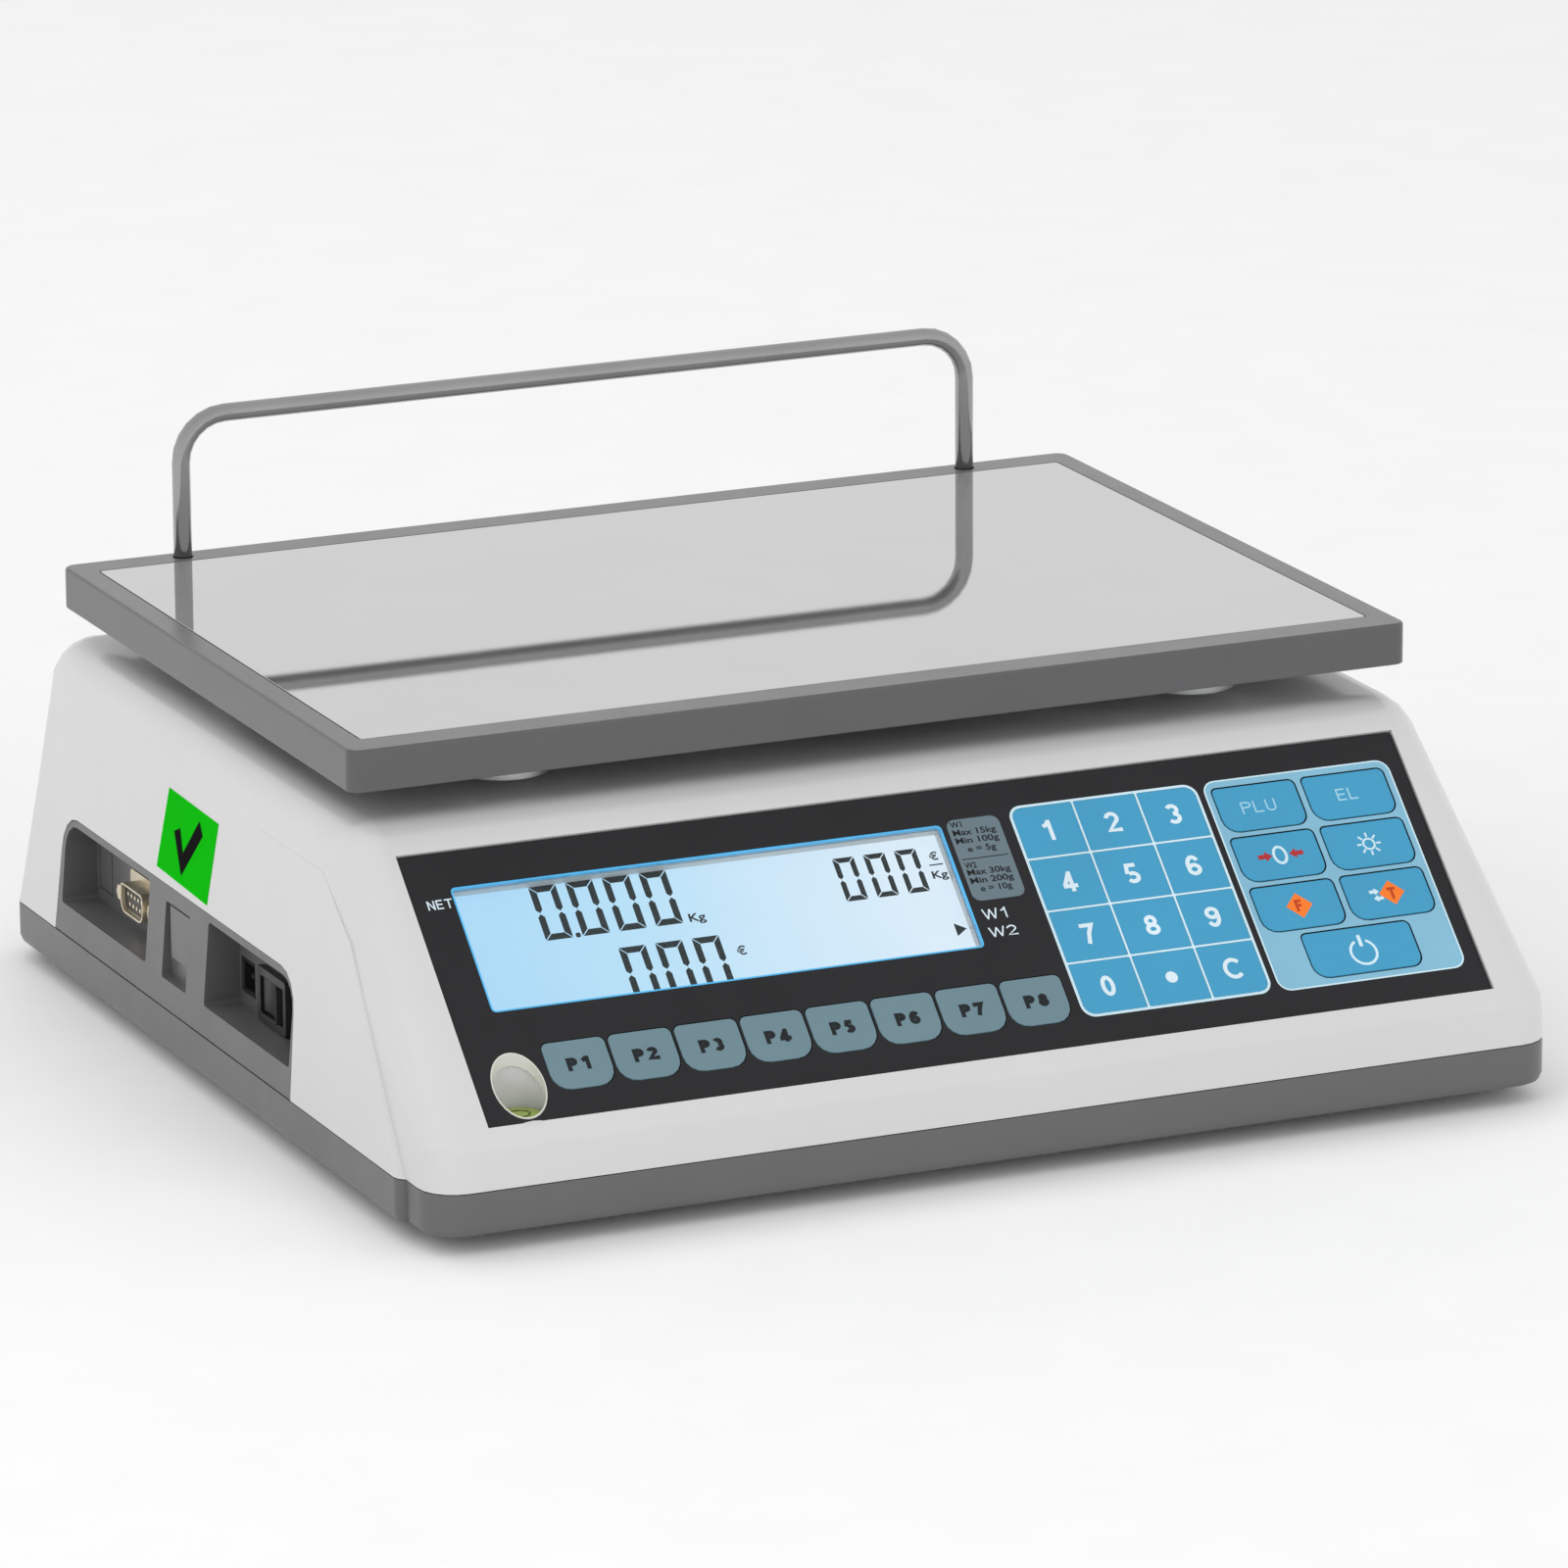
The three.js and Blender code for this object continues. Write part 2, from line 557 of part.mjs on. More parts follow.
function makePanFrame() {
  const outer = panShell();
  const upright = (side, radius, bottom, top) => solid(rod(radius, bottom, top, side * RAIL.x, RAIL_Y));
  const sleeves = [-1, 1].map((side) => upright(side, 5.2, RAIL.foot - 1, DECK.top).intersect(outer));
  const holes = [-1, 1].map((side) => upright(side, RAIL.radius + GAP, RAIL.foot - GAP, PAN.top + 1));
  const cavity = panRectangle(PAN.width - 2 * PAN.skirt, PAN.depth - 2 * PAN.skirt, 2);
  const seat = panRectangle(PLATE.width + 2 * GAP, PLATE.depth + 2 * GAP, 1.5);
  const underside = solid(plate(cavity, PAN.bottom - 1, DECK.bottom));
  const tray = cut(outer, underside, solid(plate(seat, DECK.top, PAN.top + 1)));
  return cut(join(tray, ...sleeves), ...holes);
}

addPart('pan_frame', makePanFrame(), PAINT.pan);

const steelSheet = plate(panRectangle(PLATE.width, PLATE.depth, 1.2), PAN.top - PLATE.thickness, PAN.top);
addPart('pan_plate', steelSheet, PAINT.steel);

// A rod along a route given by its points and the rod's direction at each.
class BentRod extends THREE.Curve {
  constructor(points, directions) {
    super();
    this.points = points;
    this.directions = directions;
  }

  getPointAt(u) {
    return this.points[Math.round(u * (this.points.length - 1))].clone();
  }

  getTangentAt(u) {
    return this.directions[Math.round(u * (this.points.length - 1))].clone();
  }
}

function polygonShape(radius, sides) {
  const shape = new THREE.Shape();
  for (let i = 0; i < sides; i++) {
    const angle = (i / sides) * 2 * Math.PI;
    const point = [radius * Math.cos(angle), radius * Math.sin(angle)];
    if (i === 0) shape.moveTo(...point);
    else shape.lineTo(...point);
  }
  shape.closePath();
  return shape;
}

function makeGuardRail() {
  const points = [new THREE.Vector3(-RAIL.x, RAIL_Y, RAIL.foot)];
  const directions = [new THREE.Vector3(0, 0, 1)];
  const bendSteps = 6;
  for (const side of [-1, 1]) {
    for (let i = 0; i <= bendSteps; i++) {
      const turn = (i / bendSteps) * Math.PI / 2;
      const angle = side < 0 ? Math.PI - turn : Math.PI / 2 - turn;
      const x = side * (RAIL.x - RAIL.bend) + RAIL.bend * Math.cos(angle);
      const z = RAIL.bar - RAIL.bend + RAIL.bend * Math.sin(angle);
      points.push(new THREE.Vector3(x, RAIL_Y, z));
      directions.push(new THREE.Vector3(Math.sin(angle), 0, -Math.cos(angle)));
    }
  }
  points.push(new THREE.Vector3(RAIL.x, RAIL_Y, RAIL.foot));
  directions.push(new THREE.Vector3(0, 0, -1));
  const extrudePath = new BentRod(points, directions);
  return new THREE.ExtrudeGeometry(polygonShape(RAIL.radius, 12), { steps: points.length - 1, extrudePath });
}

addPart('guard_rail', makeGuardRail(), PAINT.rod);

// ---------------------------------------------------------------- keypad and display on the slope

function numberKeyShape(column, row, grow) {
  const { columnEdges, y0, y1, radius, rows, groove } = NUMBER_PAD;
  const pitchY = (y1 - y0) / rows;
  const left = columnEdges[column] + groove / 2 - grow;
  const right = columnEdges[column + 1] - groove / 2 + grow;
  const top = y1 - row * pitchY - groove / 2 + grow;
  const bottom = top - pitchY + groove - 2 * grow;
  const plain = 0.4;
  const big = radius - groove / 2 + grow;
  const isLeft = column === 0;
  const isRight = column === columnEdges.length - 2;
  const isTop = row === 0;
  const isBottom = row === rows - 1;
  const radii = [
    isLeft && isBottom ? big : plain,
    isRight && isBottom ? big : plain,
    isRight && isTop ? big : plain,
    isLeft && isTop ? big : plain,
  ];
  return roundedShape(left, bottom, right, top, radii);
}

// Function keys have one wide round corner at the bottom left and tighter ones elsewhere.
function functionKeyShape(x0, y0, width, height, grow) {
  const radii = [4.4, 3.4, 1.8, 1.4].map((radius) => radius + grow);
  return roundedShape(x0 - grow, y0 - grow, x0 + width + grow, y0 + height + grow, radii);
}

function presetKeyShape(index, grow) {
  const { x0, y0, width, height, pitch } = PRESET_KEY;
  const left = x0 + index * pitch;
  const radii = [5.4, 5.4, 2, 2].map((radius) => radius + grow);
  return roundedShape(left - grow, y0 - grow, left + width + grow, y0 + height + grow, radii);
}

const NUMBER_NAMES = [['1', '2', '3'], ['4', '5', '6'], ['7', '8', '9'], ['0', 'point', 'clear']];
const FUNCTION_NAMES = [['lookup', 'memory'], ['zero', 'backlight'], ['function', 'tare']];

// Every key as { name, material, shape(grow) }.
function listKeys() {
  const keys = [];
  NUMBER_NAMES.forEach((names, row) => names.forEach((name, column) => {
    const shape = (grow) => numberKeyShape(column, row, grow);
    keys.push({ name: `key_${name}`, paint: PAINT.blueKey, shape });
  }));
  const { width, height, x0, pitchX, yTop, pitchY } = FUNCTION_KEY;
  FUNCTION_NAMES.forEach((names, row) => names.forEach((name, column) => {
    const shape = (grow) => functionKeyShape(x0 + column * pitchX, yTop - row * pitchY, width, height, grow);
    keys.push({ name: `key_${name}`, paint: PAINT.blueKey, shape });
  }));
  const power = POWER_KEY;
  const powerShape = (grow) => functionKeyShape(power.x0, power.y0, power.width, power.height, grow);
  keys.push({ name: 'key_power', paint: PAINT.blueKey, shape: powerShape });
  for (let i = 0; i < PRESET_KEY.count; i++) {
    const shape = (grow) => presetKeyShape(i, grow);
    keys.push({ name: `key_preset_${i + 1}`, paint: PAINT.greyKey, shape });
  }
  return keys;
}

const KEYS = listKeys();

KEYS.forEach(({ name, paint, shape }) => {
  addPart(name, plate(shape(0), KEY_BOTTOM, KEY_TOP), paint, slopeGroup);
});

function makeOverlay() {
  const x = OVERLAY.width / 2;
  const y = OVERLAY.height / 2;
  const sheet = solid(plate(roundedShape(-x, -y, x, y, 1.2), OVERLAY.bottom, OVERLAY.top));
  const { columnEdges, y0, y1, radius } = NUMBER_PAD;
  const above = 1;
  const numberWell = solid(plate(
    roundedShape(columnEdges[0], y0, columnEdges.at(-1), y1, radius), WELL_FLOOR, above,
  ));
  const otherKeys = KEYS.slice(NUMBER_NAMES.flat().length);
  const wells = otherKeys.map(({ shape }) => solid(plate(shape(GAP), WELL_FLOOR, above)));
  const display = solid(plate(roundedShape(LCD.x0, LCD.y0, LCD.x1, LCD.y1, LCD.radius), -5, above));
  const toSlope = SLOPE_FRAME.clone().invert();
  const levelHole = solid(rod(LEVEL.windowR, 10, TOP_Z, LEVEL.x, LEVEL.y, 28).applyMatrix4(toSlope));
  return cut(sheet, numberWell, ...wells, display, levelHole);
}

addPart('keypad_overlay', makeOverlay(), PAINT.overlay, slopeGroup);

const lensShape = roundedShape(LCD.x0 + GAP, LCD.y0 + GAP, LCD.x1 - GAP, LCD.y1 - GAP, 1.2);
addPart('lcd_lens', plate(lensShape, -2.6, -0.95), PAINT.glass, slopeGroup);

// A display: a glass cell on a backlight and its board, seen through a window.
function makeDisplay(width, height, face) {
  const x = width / 2;
  const y = height / 2;
  const cell = solid(block(-x + 3, x - 3, -y + 2, y - 2, face - 3, face));
  const backlight = solid(block(-x + 1, x - 1, -y + 1, y - 1, face - 5, face - 2));
  const board = solid(block(-x, x, -y, y, face - 6.5, face - 4.9));
  return join(cell, backlight, board);
}

const display = addPart('lcd_module', makeDisplay(158, 48, -LCD_DEPTH), PAINT.display, slopeGroup);
display.position.set((LCD.x0 + LCD.x1) / 2, (LCD.y0 + LCD.y1) / 2, 0);

function makeMainBoard() {
  const top = -7.4;
  const under = top - 1.6;
  const sheet = block(22, 150, -34, 34, under, top);
  const parts = [
    [40, 62, -24, -14, 6],
    [70, 96, -6, 12, 3],
    [104, 124, 14, 28, 9],
    [110, 140, -28, -20, 7],
    [34, 52, 12, 28, 4],
  ];
  const chip = ([x0, x1, y0, y1, depth]) => solid(block(x0, x1, y0, y1, under - depth, under + 0.5));
  const chips = parts.map(chip);
  return join(solid(sheet), ...chips);
}

addPart('main_board', makeMainBoard(), PAINT.board, slopeGroup);

const vialProfile = [[0, 25.3], [7.5, 25.3], [7.5, 34], [6.9, 34.6], [0, 34.9]];
const vialPoints = vialProfile.map(([r, z]) => new THREE.Vector2(r, z));
const vial = new THREE.LatheGeometry(vialPoints, 24).rotateX(Math.PI / 2);
addPart('level_vial', vial, PAINT.vial).position.set(LEVEL.x, LEVEL.y, 0);

// ---------------------------------------------------------------- display on the back wall

// One sheet of clear plastic, printed dark around the display, so it has no opening.
const rearShape = roundedShape(-REAR.width / 2, -REAR.height / 2, REAR.width / 2, REAR.height / 2, 2);
addPart('rear_overlay', plate(rearShape, -1.6, -0.4), PAINT.overlay, rearGroup);
addPart('rear_lcd_module', makeDisplay(158, 48, -5), PAINT.display, rearGroup);

// ---------------------------------------------------------------- sockets on the left side

function pocket({ y0, y1, z0, z1, radii }, depthX) {
  return solid(sidePlate(roundedShape(y0, z0, y1, z1, radii), -190, depthX));
}

// A narrow groove in the pocket's back wall round a blank that can be broken out.
function knockOutGroove() {
  const { y0, y1, z0, z1, groove } = KNOCK_OUT;
  const { pocketWall } = SOCKETS;
  const outer = solid(block(pocketWall - 1, pocketWall + groove, y0, y1, z0, z1));
  const inner = block(pocketWall - 2, pocketWall + 2, y0 + groove, y1 - groove, z0 + groove, z1 - groove);
  return cut(outer, solid(inner));
}

function makeSocketPanel() {
  const outside = (z) => -panelHalf(z) + 0.2;
  const points = [];
  for (const z of [17, 60]) {
    for (const y of [-80, 140]) {
      points.push(new THREE.Vector3(outside(z), y, z), new THREE.Vector3(-150, y, z));
    }
  }
  const outline = solid(sidePlate(socketOutline(0), -190, SOCKETS.inner));
  const slab = outline.intersect(solid(new ConvexGeometry(points)));
  const recessFloor = -panelHalf((BLANK_RECESS.z0 + BLANK_RECESS.z1) / 2) + BLANK_RECESS.depth;
  const { y0, y1, z0, z1, height } = BLANK_COVER;
  const cover = solid(block(recessFloor - height, recessFloor + 1, y0, y1, z0, z1));
  const hole = (centre, width, height) => solid(block(
    -170, -150,
    centre.y - width / 2, centre.y + width / 2,
    centre.z - height / 2, centre.z + height / 2,
  ));
  return cut(
    slab,
    pocket(POCKET_BACK, SOCKETS.pocketWall),
    pocket(POCKET_FRONT, SOCKETS.pocketWall),
    cut(pocket(BLANK_RECESS, recessFloor), cover),
    knockOutGroove(),
    hole(SERIAL, SERIAL.shell - 1, 11.6),
    hole(JACK, JACK.width + 2 * GAP, JACK.height + 2 * GAP),
    hole(SWITCH, 19.8, 13.6),
  );
}

addPart('socket_panel', makeSocketPanel(), PAINT.base);

function centredRectangle(width, height, radii) {
  return roundedShape(-width / 2, -height / 2, width / 2, height / 2, radii);
}

// A nine-pin connector: a D-shaped shell and two hexagonal posts on a flange, and a body behind it.
function makeSerialConnector() {
  const { flange, flangeHeight, shell, shellHeight, postSpacing } = SERIAL;
  const back = -164;
  const mount = solid(sidePlate(centredRectangle(flange, flangeHeight, 1.5), back - 0.9, back));
  const outside = centredRectangle(shell, shellHeight, [3.5, 3.5, 2, 2]);
  const inside = centredRectangle(shell - 1.2, shellHeight - 1.2, [3, 3, 1.5, 1.5]);
  const tube = solid(sidePlate(outside, back - 6.5, back - 0.5));
  const hollow = solid(sidePlate(inside, back - 8, back - 5));
  const body = solid(sidePlate(centredRectangle(shell - 2, flangeHeight - 2, 1), back - 0.5, back + 11));
  const posts = [-1, 1].map((side) => {
    const hexagon = solid(sidePlate(polygonShape(2.6, 6), back - 5.5, back - 0.5));
    return hexagon.translate([0, side * postSpacing, 0]);
  });
  return join(cut(tube, hollow), mount, body, ...posts);
}

addPart('serial_connector', makeSerialConnector(), PAINT.tin).position.set(0, SERIAL.y, SERIAL.z);

function makePowerJack() {
  const face = SOCKETS.pocketWall + GAP;
  const body = solid(block(face, -150, -JACK.width / 2, JACK.width / 2, -JACK.height / 2, JACK.height / 2));
  const opening = centredRectangle(JACK.width - 2 * JACK.wall, JACK.height - 2 * JACK.wall, 0.6);
  const bore = solid(sidePlate(opening, face - 1, face + 9));
  const pin = solid(sidePlate(polygonShape(1, 10), face + 1, face + 10));
  return join(cut(body, bore), pin);
}

addPart('power_jack', makePowerJack(), PAINT.black).position.set(0, JACK.y, JACK.z);

function makeSwitchFrame() {
  const { bezel, bezelHeight, face } = SWITCH;
  const flange = solid(sidePlate(centredRectangle(bezel, bezelHeight, 1), face, face + 2));
  const body = solid(sidePlate(centredRectangle(19.2, 13, 0.6), face + 1.5, -149));
  const opening = solid(sidePlate(centredRectangle(17.4, 11.2, 0.6), face - 1, -154));
  return cut(join(flange, body), opening);
}

addPart('switch_frame', makeSwitchFrame(), PAINT.black).position.set(0, SWITCH.y, SWITCH.z);

// The rocker's section is a shallow V that tips about its middle. It is drawn level and rests on one end.
function makeRocker() {
  const half = 7.6;
  const section = new THREE.Shape();
  section.moveTo(-4.3, -half);
  section.quadraticCurveTo(-1.6, 0, -4.3, half);
  section.lineTo(1, half);
  section.quadraticCurveTo(4.5, 0, 1, -half);
  section.closePath();
  return plate(section, -5.3, 5.3, 8);
}

const rocker = addPart('rocker_switch', makeRocker(), PAINT.black);
rocker.position.set(SWITCH.pivotX, SWITCH.y, SWITCH.z);
rocker.rotation.z = THREE.MathUtils.degToRad(-SWITCH.tilt);

export default scale;
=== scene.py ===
"""Looks of the retail price scale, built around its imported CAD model.

The frame is in metres, +Z up, with the keypad's user at -Y. Flat pieces are drawn in millimetres.
"""

import json
import math

import bmesh
import bpy
from mathutils import Matrix, Vector


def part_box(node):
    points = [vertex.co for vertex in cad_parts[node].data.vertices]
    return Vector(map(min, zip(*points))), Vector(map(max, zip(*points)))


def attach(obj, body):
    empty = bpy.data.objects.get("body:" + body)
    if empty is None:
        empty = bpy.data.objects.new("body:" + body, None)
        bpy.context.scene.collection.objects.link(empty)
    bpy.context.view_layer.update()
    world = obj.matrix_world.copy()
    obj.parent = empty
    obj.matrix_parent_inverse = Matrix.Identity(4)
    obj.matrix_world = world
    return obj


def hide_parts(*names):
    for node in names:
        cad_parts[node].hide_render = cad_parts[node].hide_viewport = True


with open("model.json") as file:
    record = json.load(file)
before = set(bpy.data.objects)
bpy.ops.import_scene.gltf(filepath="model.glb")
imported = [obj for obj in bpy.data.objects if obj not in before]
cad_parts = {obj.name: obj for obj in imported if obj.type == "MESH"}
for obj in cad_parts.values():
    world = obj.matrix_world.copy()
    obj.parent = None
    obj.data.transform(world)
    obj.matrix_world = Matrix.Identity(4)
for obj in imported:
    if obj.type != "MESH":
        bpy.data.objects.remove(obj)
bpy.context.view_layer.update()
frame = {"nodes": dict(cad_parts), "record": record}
NODES = frame["nodes"]
BODY_OF = {node: body for body, nodes in frame["record"]["behaviour"]["bodies"].items() for node in nodes}
SLOT_OF = {row["node"]: row["material_slot"] for row in frame["record"]["subparts"]}
MM = 0.001

# Planes to draw in: x to the viewer's right, y up the surface, z out of it.
SLOPE_Y, SLOPE_Z = -131.7, 65.4
SLOPE_LEAN = math.radians(42.9)
SLOPE = Matrix.Translation((0, SLOPE_Y * MM, SLOPE_Z * MM)) @ Matrix.Rotation(SLOPE_LEAN, 4, "X")


def wall_plane(x, y, z, turn, lean):
    """A plane on an outer wall, turned about the vertical and leaning back from it."""
    place = Matrix.Translation((x * MM, y * MM, z * MM))
    return place @ Matrix.Rotation(turn, 4, "Z") @ Matrix.Rotation(math.pi / 2 - lean, 4, "X")


# How far the back and side walls lean in per millimetre of height above the parting line at 18 mm.
PARTING_Z = 18
BACK_WALL, BACK_SLANT = 168, 0.264
SIDE_WALL, SIDE_SLANT = 176, 0.0862
REAR_Z = 56
REAR = wall_plane(0, BACK_WALL - BACK_SLANT * (REAR_Z - PARTING_Z), REAR_Z, math.pi, math.atan(BACK_SLANT))
LABEL_Y, LABEL_Z = 21.5, 69.5
SIDE_LEAN = math.atan(SIDE_SLANT)
LABEL_X = SIDE_SLANT * (LABEL_Z - PARTING_Z) - SIDE_WALL
LABEL = wall_plane(LABEL_X, LABEL_Y, LABEL_Z, -math.pi / 2, SIDE_LEAN)

# Heights above the planes: the film, the keys' tops, the wells under the keys, and the lit faces of the
# displays behind the keypad's plane and the back display's.
FILM = -0.8
KEY_FACE = -0.65
WELL_FLOOR = -2.3
LCD_FACE = -6.0
REAR_LCD_FACE = -5.0

SERIAL_X, SERIAL_Y, SERIAL_Z = -169, 72.7, 38.5    # the middle of the serial connector's insert
SIGHT_X, SIGHT_Y = -142.3, -154.8                  # the axis of the level's upright sight well
CAP_HEIGHT = 0.73    # of the built-in font's capitals, per unit of size
SHARP = math.radians(32)    # edges bent by more than this are rounded
FIXED = BODY_OF["top_housing"]
NUMBER_KEYS = [f"key_{name}" for name in (*"1234567890", "point", "clear")]
FUNCTION_KEYS = [
    f"key_{name}" for name in ("lookup", "memory", "zero", "backlight", "function", "tare", "power")
]


# ---------------------------------------------------------------- camera, stage and light


def make_camera():
    camera = bpy.data.objects.new("camera", bpy.data.cameras.new("camera"))
    bpy.context.scene.collection.objects.link(camera)
    camera.data.lens = 234.95
    camera.data.sensor_width = 36
    camera.data.clip_end = 50
    azimuth, elevation, roll = (math.radians(a) for a in (-24.025, 15.601, -0.352))
    turn = Matrix.Rotation(azimuth, 4, "Z") @ Matrix.Rotation(math.pi / 2 - elevation, 4, "X")
    turn = turn @ Matrix.Rotation(roll, 4, "Z")
    camera.matrix_world = Matrix.Translation((-1.1688, -2.63775, 0.8784)) @ turn
    bpy.context.scene.camera = camera


def area_light(name, place, target, size, power):
    """A soft light that shiny surfaces don't mirror."""
    light = bpy.data.lights.new(name, "AREA")
    light.shape = "RECTANGLE"
    light.size, light.size_y = size
    light.energy = power
    holder = bpy.data.objects.new(name, light)
    bpy.context.scene.collection.objects.link(holder)
    direction = Vector(target) - Vector(place)
    turn = direction.to_track_quat("-Z", "Y").to_matrix().to_4x4()
    holder.matrix_world = Matrix.Translation(place) @ turn
    holder.visible_glossy = False


def make_world():
    """White from below up to the horizon, a little darker overhead."""
    world = bpy.data.worlds.new("studio")
    bpy.context.scene.world = world
    world.use_nodes = True
    nodes, links = world.node_tree.nodes, world.node_tree.links
    place = nodes.new("ShaderNodeTexCoord")
    height = nodes.new("ShaderNodeSeparateXYZ")
    ramp = nodes.new("ShaderNodeValToRGB")
    ramp.color_ramp.elements[0].position = 0.5
    ramp.color_ramp.elements[0].color = (1, 1, 1, 1)
    ramp.color_ramp.elements[1].position = 0.95
    ramp.color_ramp.elements[1].color = (0.80, 0.80, 0.80, 1)
    half = nodes.new("ShaderNodeMapRange")
    half.inputs["From Min"].default_value = -1
    links.new(place.outputs["Generated"], height.inputs[0])
    links.new(height.outputs["Z"], half.inputs["Value"])
    links.new(half.outputs["Result"], ramp.inputs["Fac"])
    links.new(ramp.outputs["Color"], nodes["Background"].inputs["Color"])
    nodes["Background"].inputs["Strength"].default_value = 1.0


def make_stage():
    mesh = bpy.data.meshes.new("floor")
    mesh.from_pydata([(-6, -6, 0), (6, -6, 0), (6, 6, 0), (-6, 6, 0)], [], [(0, 1, 2, 3)])
    floor = bpy.data.objects.new("floor", mesh)
    bpy.context.scene.collection.objects.link(floor)
    mesh.materials.append(surface("floor_paper", (0.93, 0.93, 0.93), 0.9, grain=(900, 0.02), shade=0.01))


# ---------------------------------------------------------------- materials


def new_material(name):
    material = bpy.data.materials.new(name)
    material.use_nodes = True
    return material, material.node_tree.nodes, material.node_tree.links


def noise(nodes, links, scale, detail=3, stretch=(1, 1, 1)):
    """A noise texture in object space, scale per metre, stretched along the axes."""
    place = nodes.new("ShaderNodeTexCoord")
    mapping = nodes.new("ShaderNodeMapping")
    mapping.inputs["Scale"].default_value = stretch
    texture = nodes.new("ShaderNodeTexNoise")
    texture.inputs["Scale"].default_value = scale
    texture.inputs["Detail"].default_value = detail
    links.new(place.outputs["Object"], mapping.inputs["Vector"])
    links.new(mapping.outputs["Vector"], texture.inputs["Vector"])
    return texture


def mapped(nodes, links, source, low, high):
    """The middle of a noise's output stretched over low to high."""
    ramp = nodes.new("ShaderNodeMapRange")
    ramp.inputs["From Min"].default_value = 0.3
    ramp.inputs["From Max"].default_value = 0.7
    ramp.inputs["To Min"].default_value = low
    ramp.inputs["To Max"].default_value = high
    links.new(source, ramp.inputs["Value"])
    return ramp.outputs["Result"]


def tint(nodes, links, source, colour, shade):
    """The colour, a little darker and lighter as the noise goes."""
    ramp = nodes.new("ShaderNodeValToRGB")
    for element, position, share in zip(ramp.color_ramp.elements, (0.3, 0.7), (1 - shade, 1 + shade)):
        element.position = position
        element.color = [min(1, c * share) for c in colour] + [1]
    links.new(source, ramp.inputs["Fac"])
    return ramp.outputs["Color"]


def surface(name, colour, roughness, metallic=0.0, grain=(2500, 0.15), shade=0.03, smear=0.06,
            stretch=(1, 1, 1), coat=0.0, specular=0.5):
    """Plastic, paint, rubber or metal: a base tone that drifts, smears in the gloss and a fine grain.

    grain is the bump's scale per metre and its strength, and shade the share that the tone drifts by.
    """
    material, nodes, links = new_material(name)
    shader = nodes["Principled BSDF"]
    shader.inputs["Metallic"].default_value = metallic
    shader.inputs["Specular IOR Level"].default_value = specular
    if coat:
        shader.inputs["Coat Weight"].default_value = coat
        shader.inputs["Coat Roughness"].default_value = 0.07
    drift = noise(nodes, links, 28, 4)
    links.new(tint(nodes, links, drift.outputs["Fac"], colour, shade), shader.inputs["Base Color"])
    smears = noise(nodes, links, 70, 5, stretch)
    low, high = max(0.02, roughness - smear), min(1, roughness + smear)
    links.new(mapped(nodes, links, smears.outputs["Fac"], low, high), shader.inputs["Roughness"])
    fine = noise(nodes, links, grain[0], 2, stretch)
    bump = nodes.new("ShaderNodeBump")
    bump.inputs["Strength"].default_value = grain[1]
    bump.inputs["Distance"].default_value = 0.00012
    links.new(fine.outputs["Fac"], bump.inputs["Height"])
    links.new(bump.outputs["Normal"], shader.inputs["Normal"])
    return material


def glass(name, colour=(0.97, 0.99, 1), roughness=0.02):
    """A clear window that lets most light straight through and keeps a thin gloss."""
    material, nodes, links = new_material(name)
    shader = nodes["Principled BSDF"]
    shader.inputs["Transmission Weight"].default_value = 1.0
    shader.inputs["IOR"].default_value = 1.3
    faint = noise(nodes, links, 60, 3)
    links.new(tint(nodes, links, faint.outputs["Fac"], colour, 0.01), shader.inputs["Base Color"])
    links.new(mapped(nodes, links, faint.outputs["Fac"], 0, roughness * 2), shader.inputs["Roughness"])
    return material


def backlight(name, strength):
    """The lit face of a display: pale blue that fades to white on the right, cloudy here and there."""
    material, nodes, links = new_material(name)
    shader = nodes["Principled BSDF"]
    shader.inputs["Base Color"].default_value = (0.03, 0.04, 0.045, 1)
    shader.inputs["Roughness"].default_value = 0.35
    shader.inputs["Emission Strength"].default_value = strength
    place = nodes.new("ShaderNodeTexCoord")
    split = nodes.new("ShaderNodeSeparateXYZ")
    cloud = noise(nodes, links, 22, 2)
    along = nodes.new("ShaderNodeMapRange")
    along.inputs["From Min"].default_value = -0.145
    along.inputs["From Max"].default_value = 0.012
    mix = nodes.new("ShaderNodeMath")
    mix.operation = "MULTIPLY_ADD"
    mix.inputs[1].default_value = 0.25
    ramp = nodes.new("ShaderNodeValToRGB")
    ramp.color_ramp.elements[0].color = (0.36, 0.64, 0.88, 1)
    ramp.color_ramp.elements[0].position = 0.1
    ramp.color_ramp.elements[1].color = (0.68, 0.80, 0.90, 1)
    ramp.color_ramp.elements[1].position = 1.0
    middle = ramp.color_ramp.elements.new(0.45)
    middle.color = (0.44, 0.70, 0.88, 1)
    links.new(place.outputs["Object"], split.inputs[0])
    links.new(split.outputs["X"], along.inputs["Value"])
    links.new(cloud.outputs["Fac"], mix.inputs[0])
    links.new(along.outputs["Result"], mix.inputs[2])
    links.new(mix.outputs["Value"], ramp.inputs["Fac"])
    links.new(ramp.outputs["Color"], shader.inputs["Emission Color"])
    return material


# An emitting surface: the display module's lit rim, and the painted backlight spill on the window's walls.
def glow(name, colour, strength):
    material, nodes, links = new_material(name)
    shader = nodes["Principled BSDF"]
    shader.inputs["Roughness"].default_value = 0.3
    shader.inputs["Emission Strength"].default_value = strength
    cloud = noise(nodes, links, 45, 2)
    links.new(tint(nodes, links, cloud.outputs["Fac"], colour, 0.2), shader.inputs["Emission Color"])
    links.new(tint(nodes, links, cloud.outputs["Fac"], colour, 0.1), shader.inputs["Base Color"])
    return material


def ink(name, colour, roughness=0.5, specular=0.22):
    """Matt print."""
    return surface(name, colour, roughness, grain=(6000, 0.1), shade=0.05, smear=0.04, specular=specular)


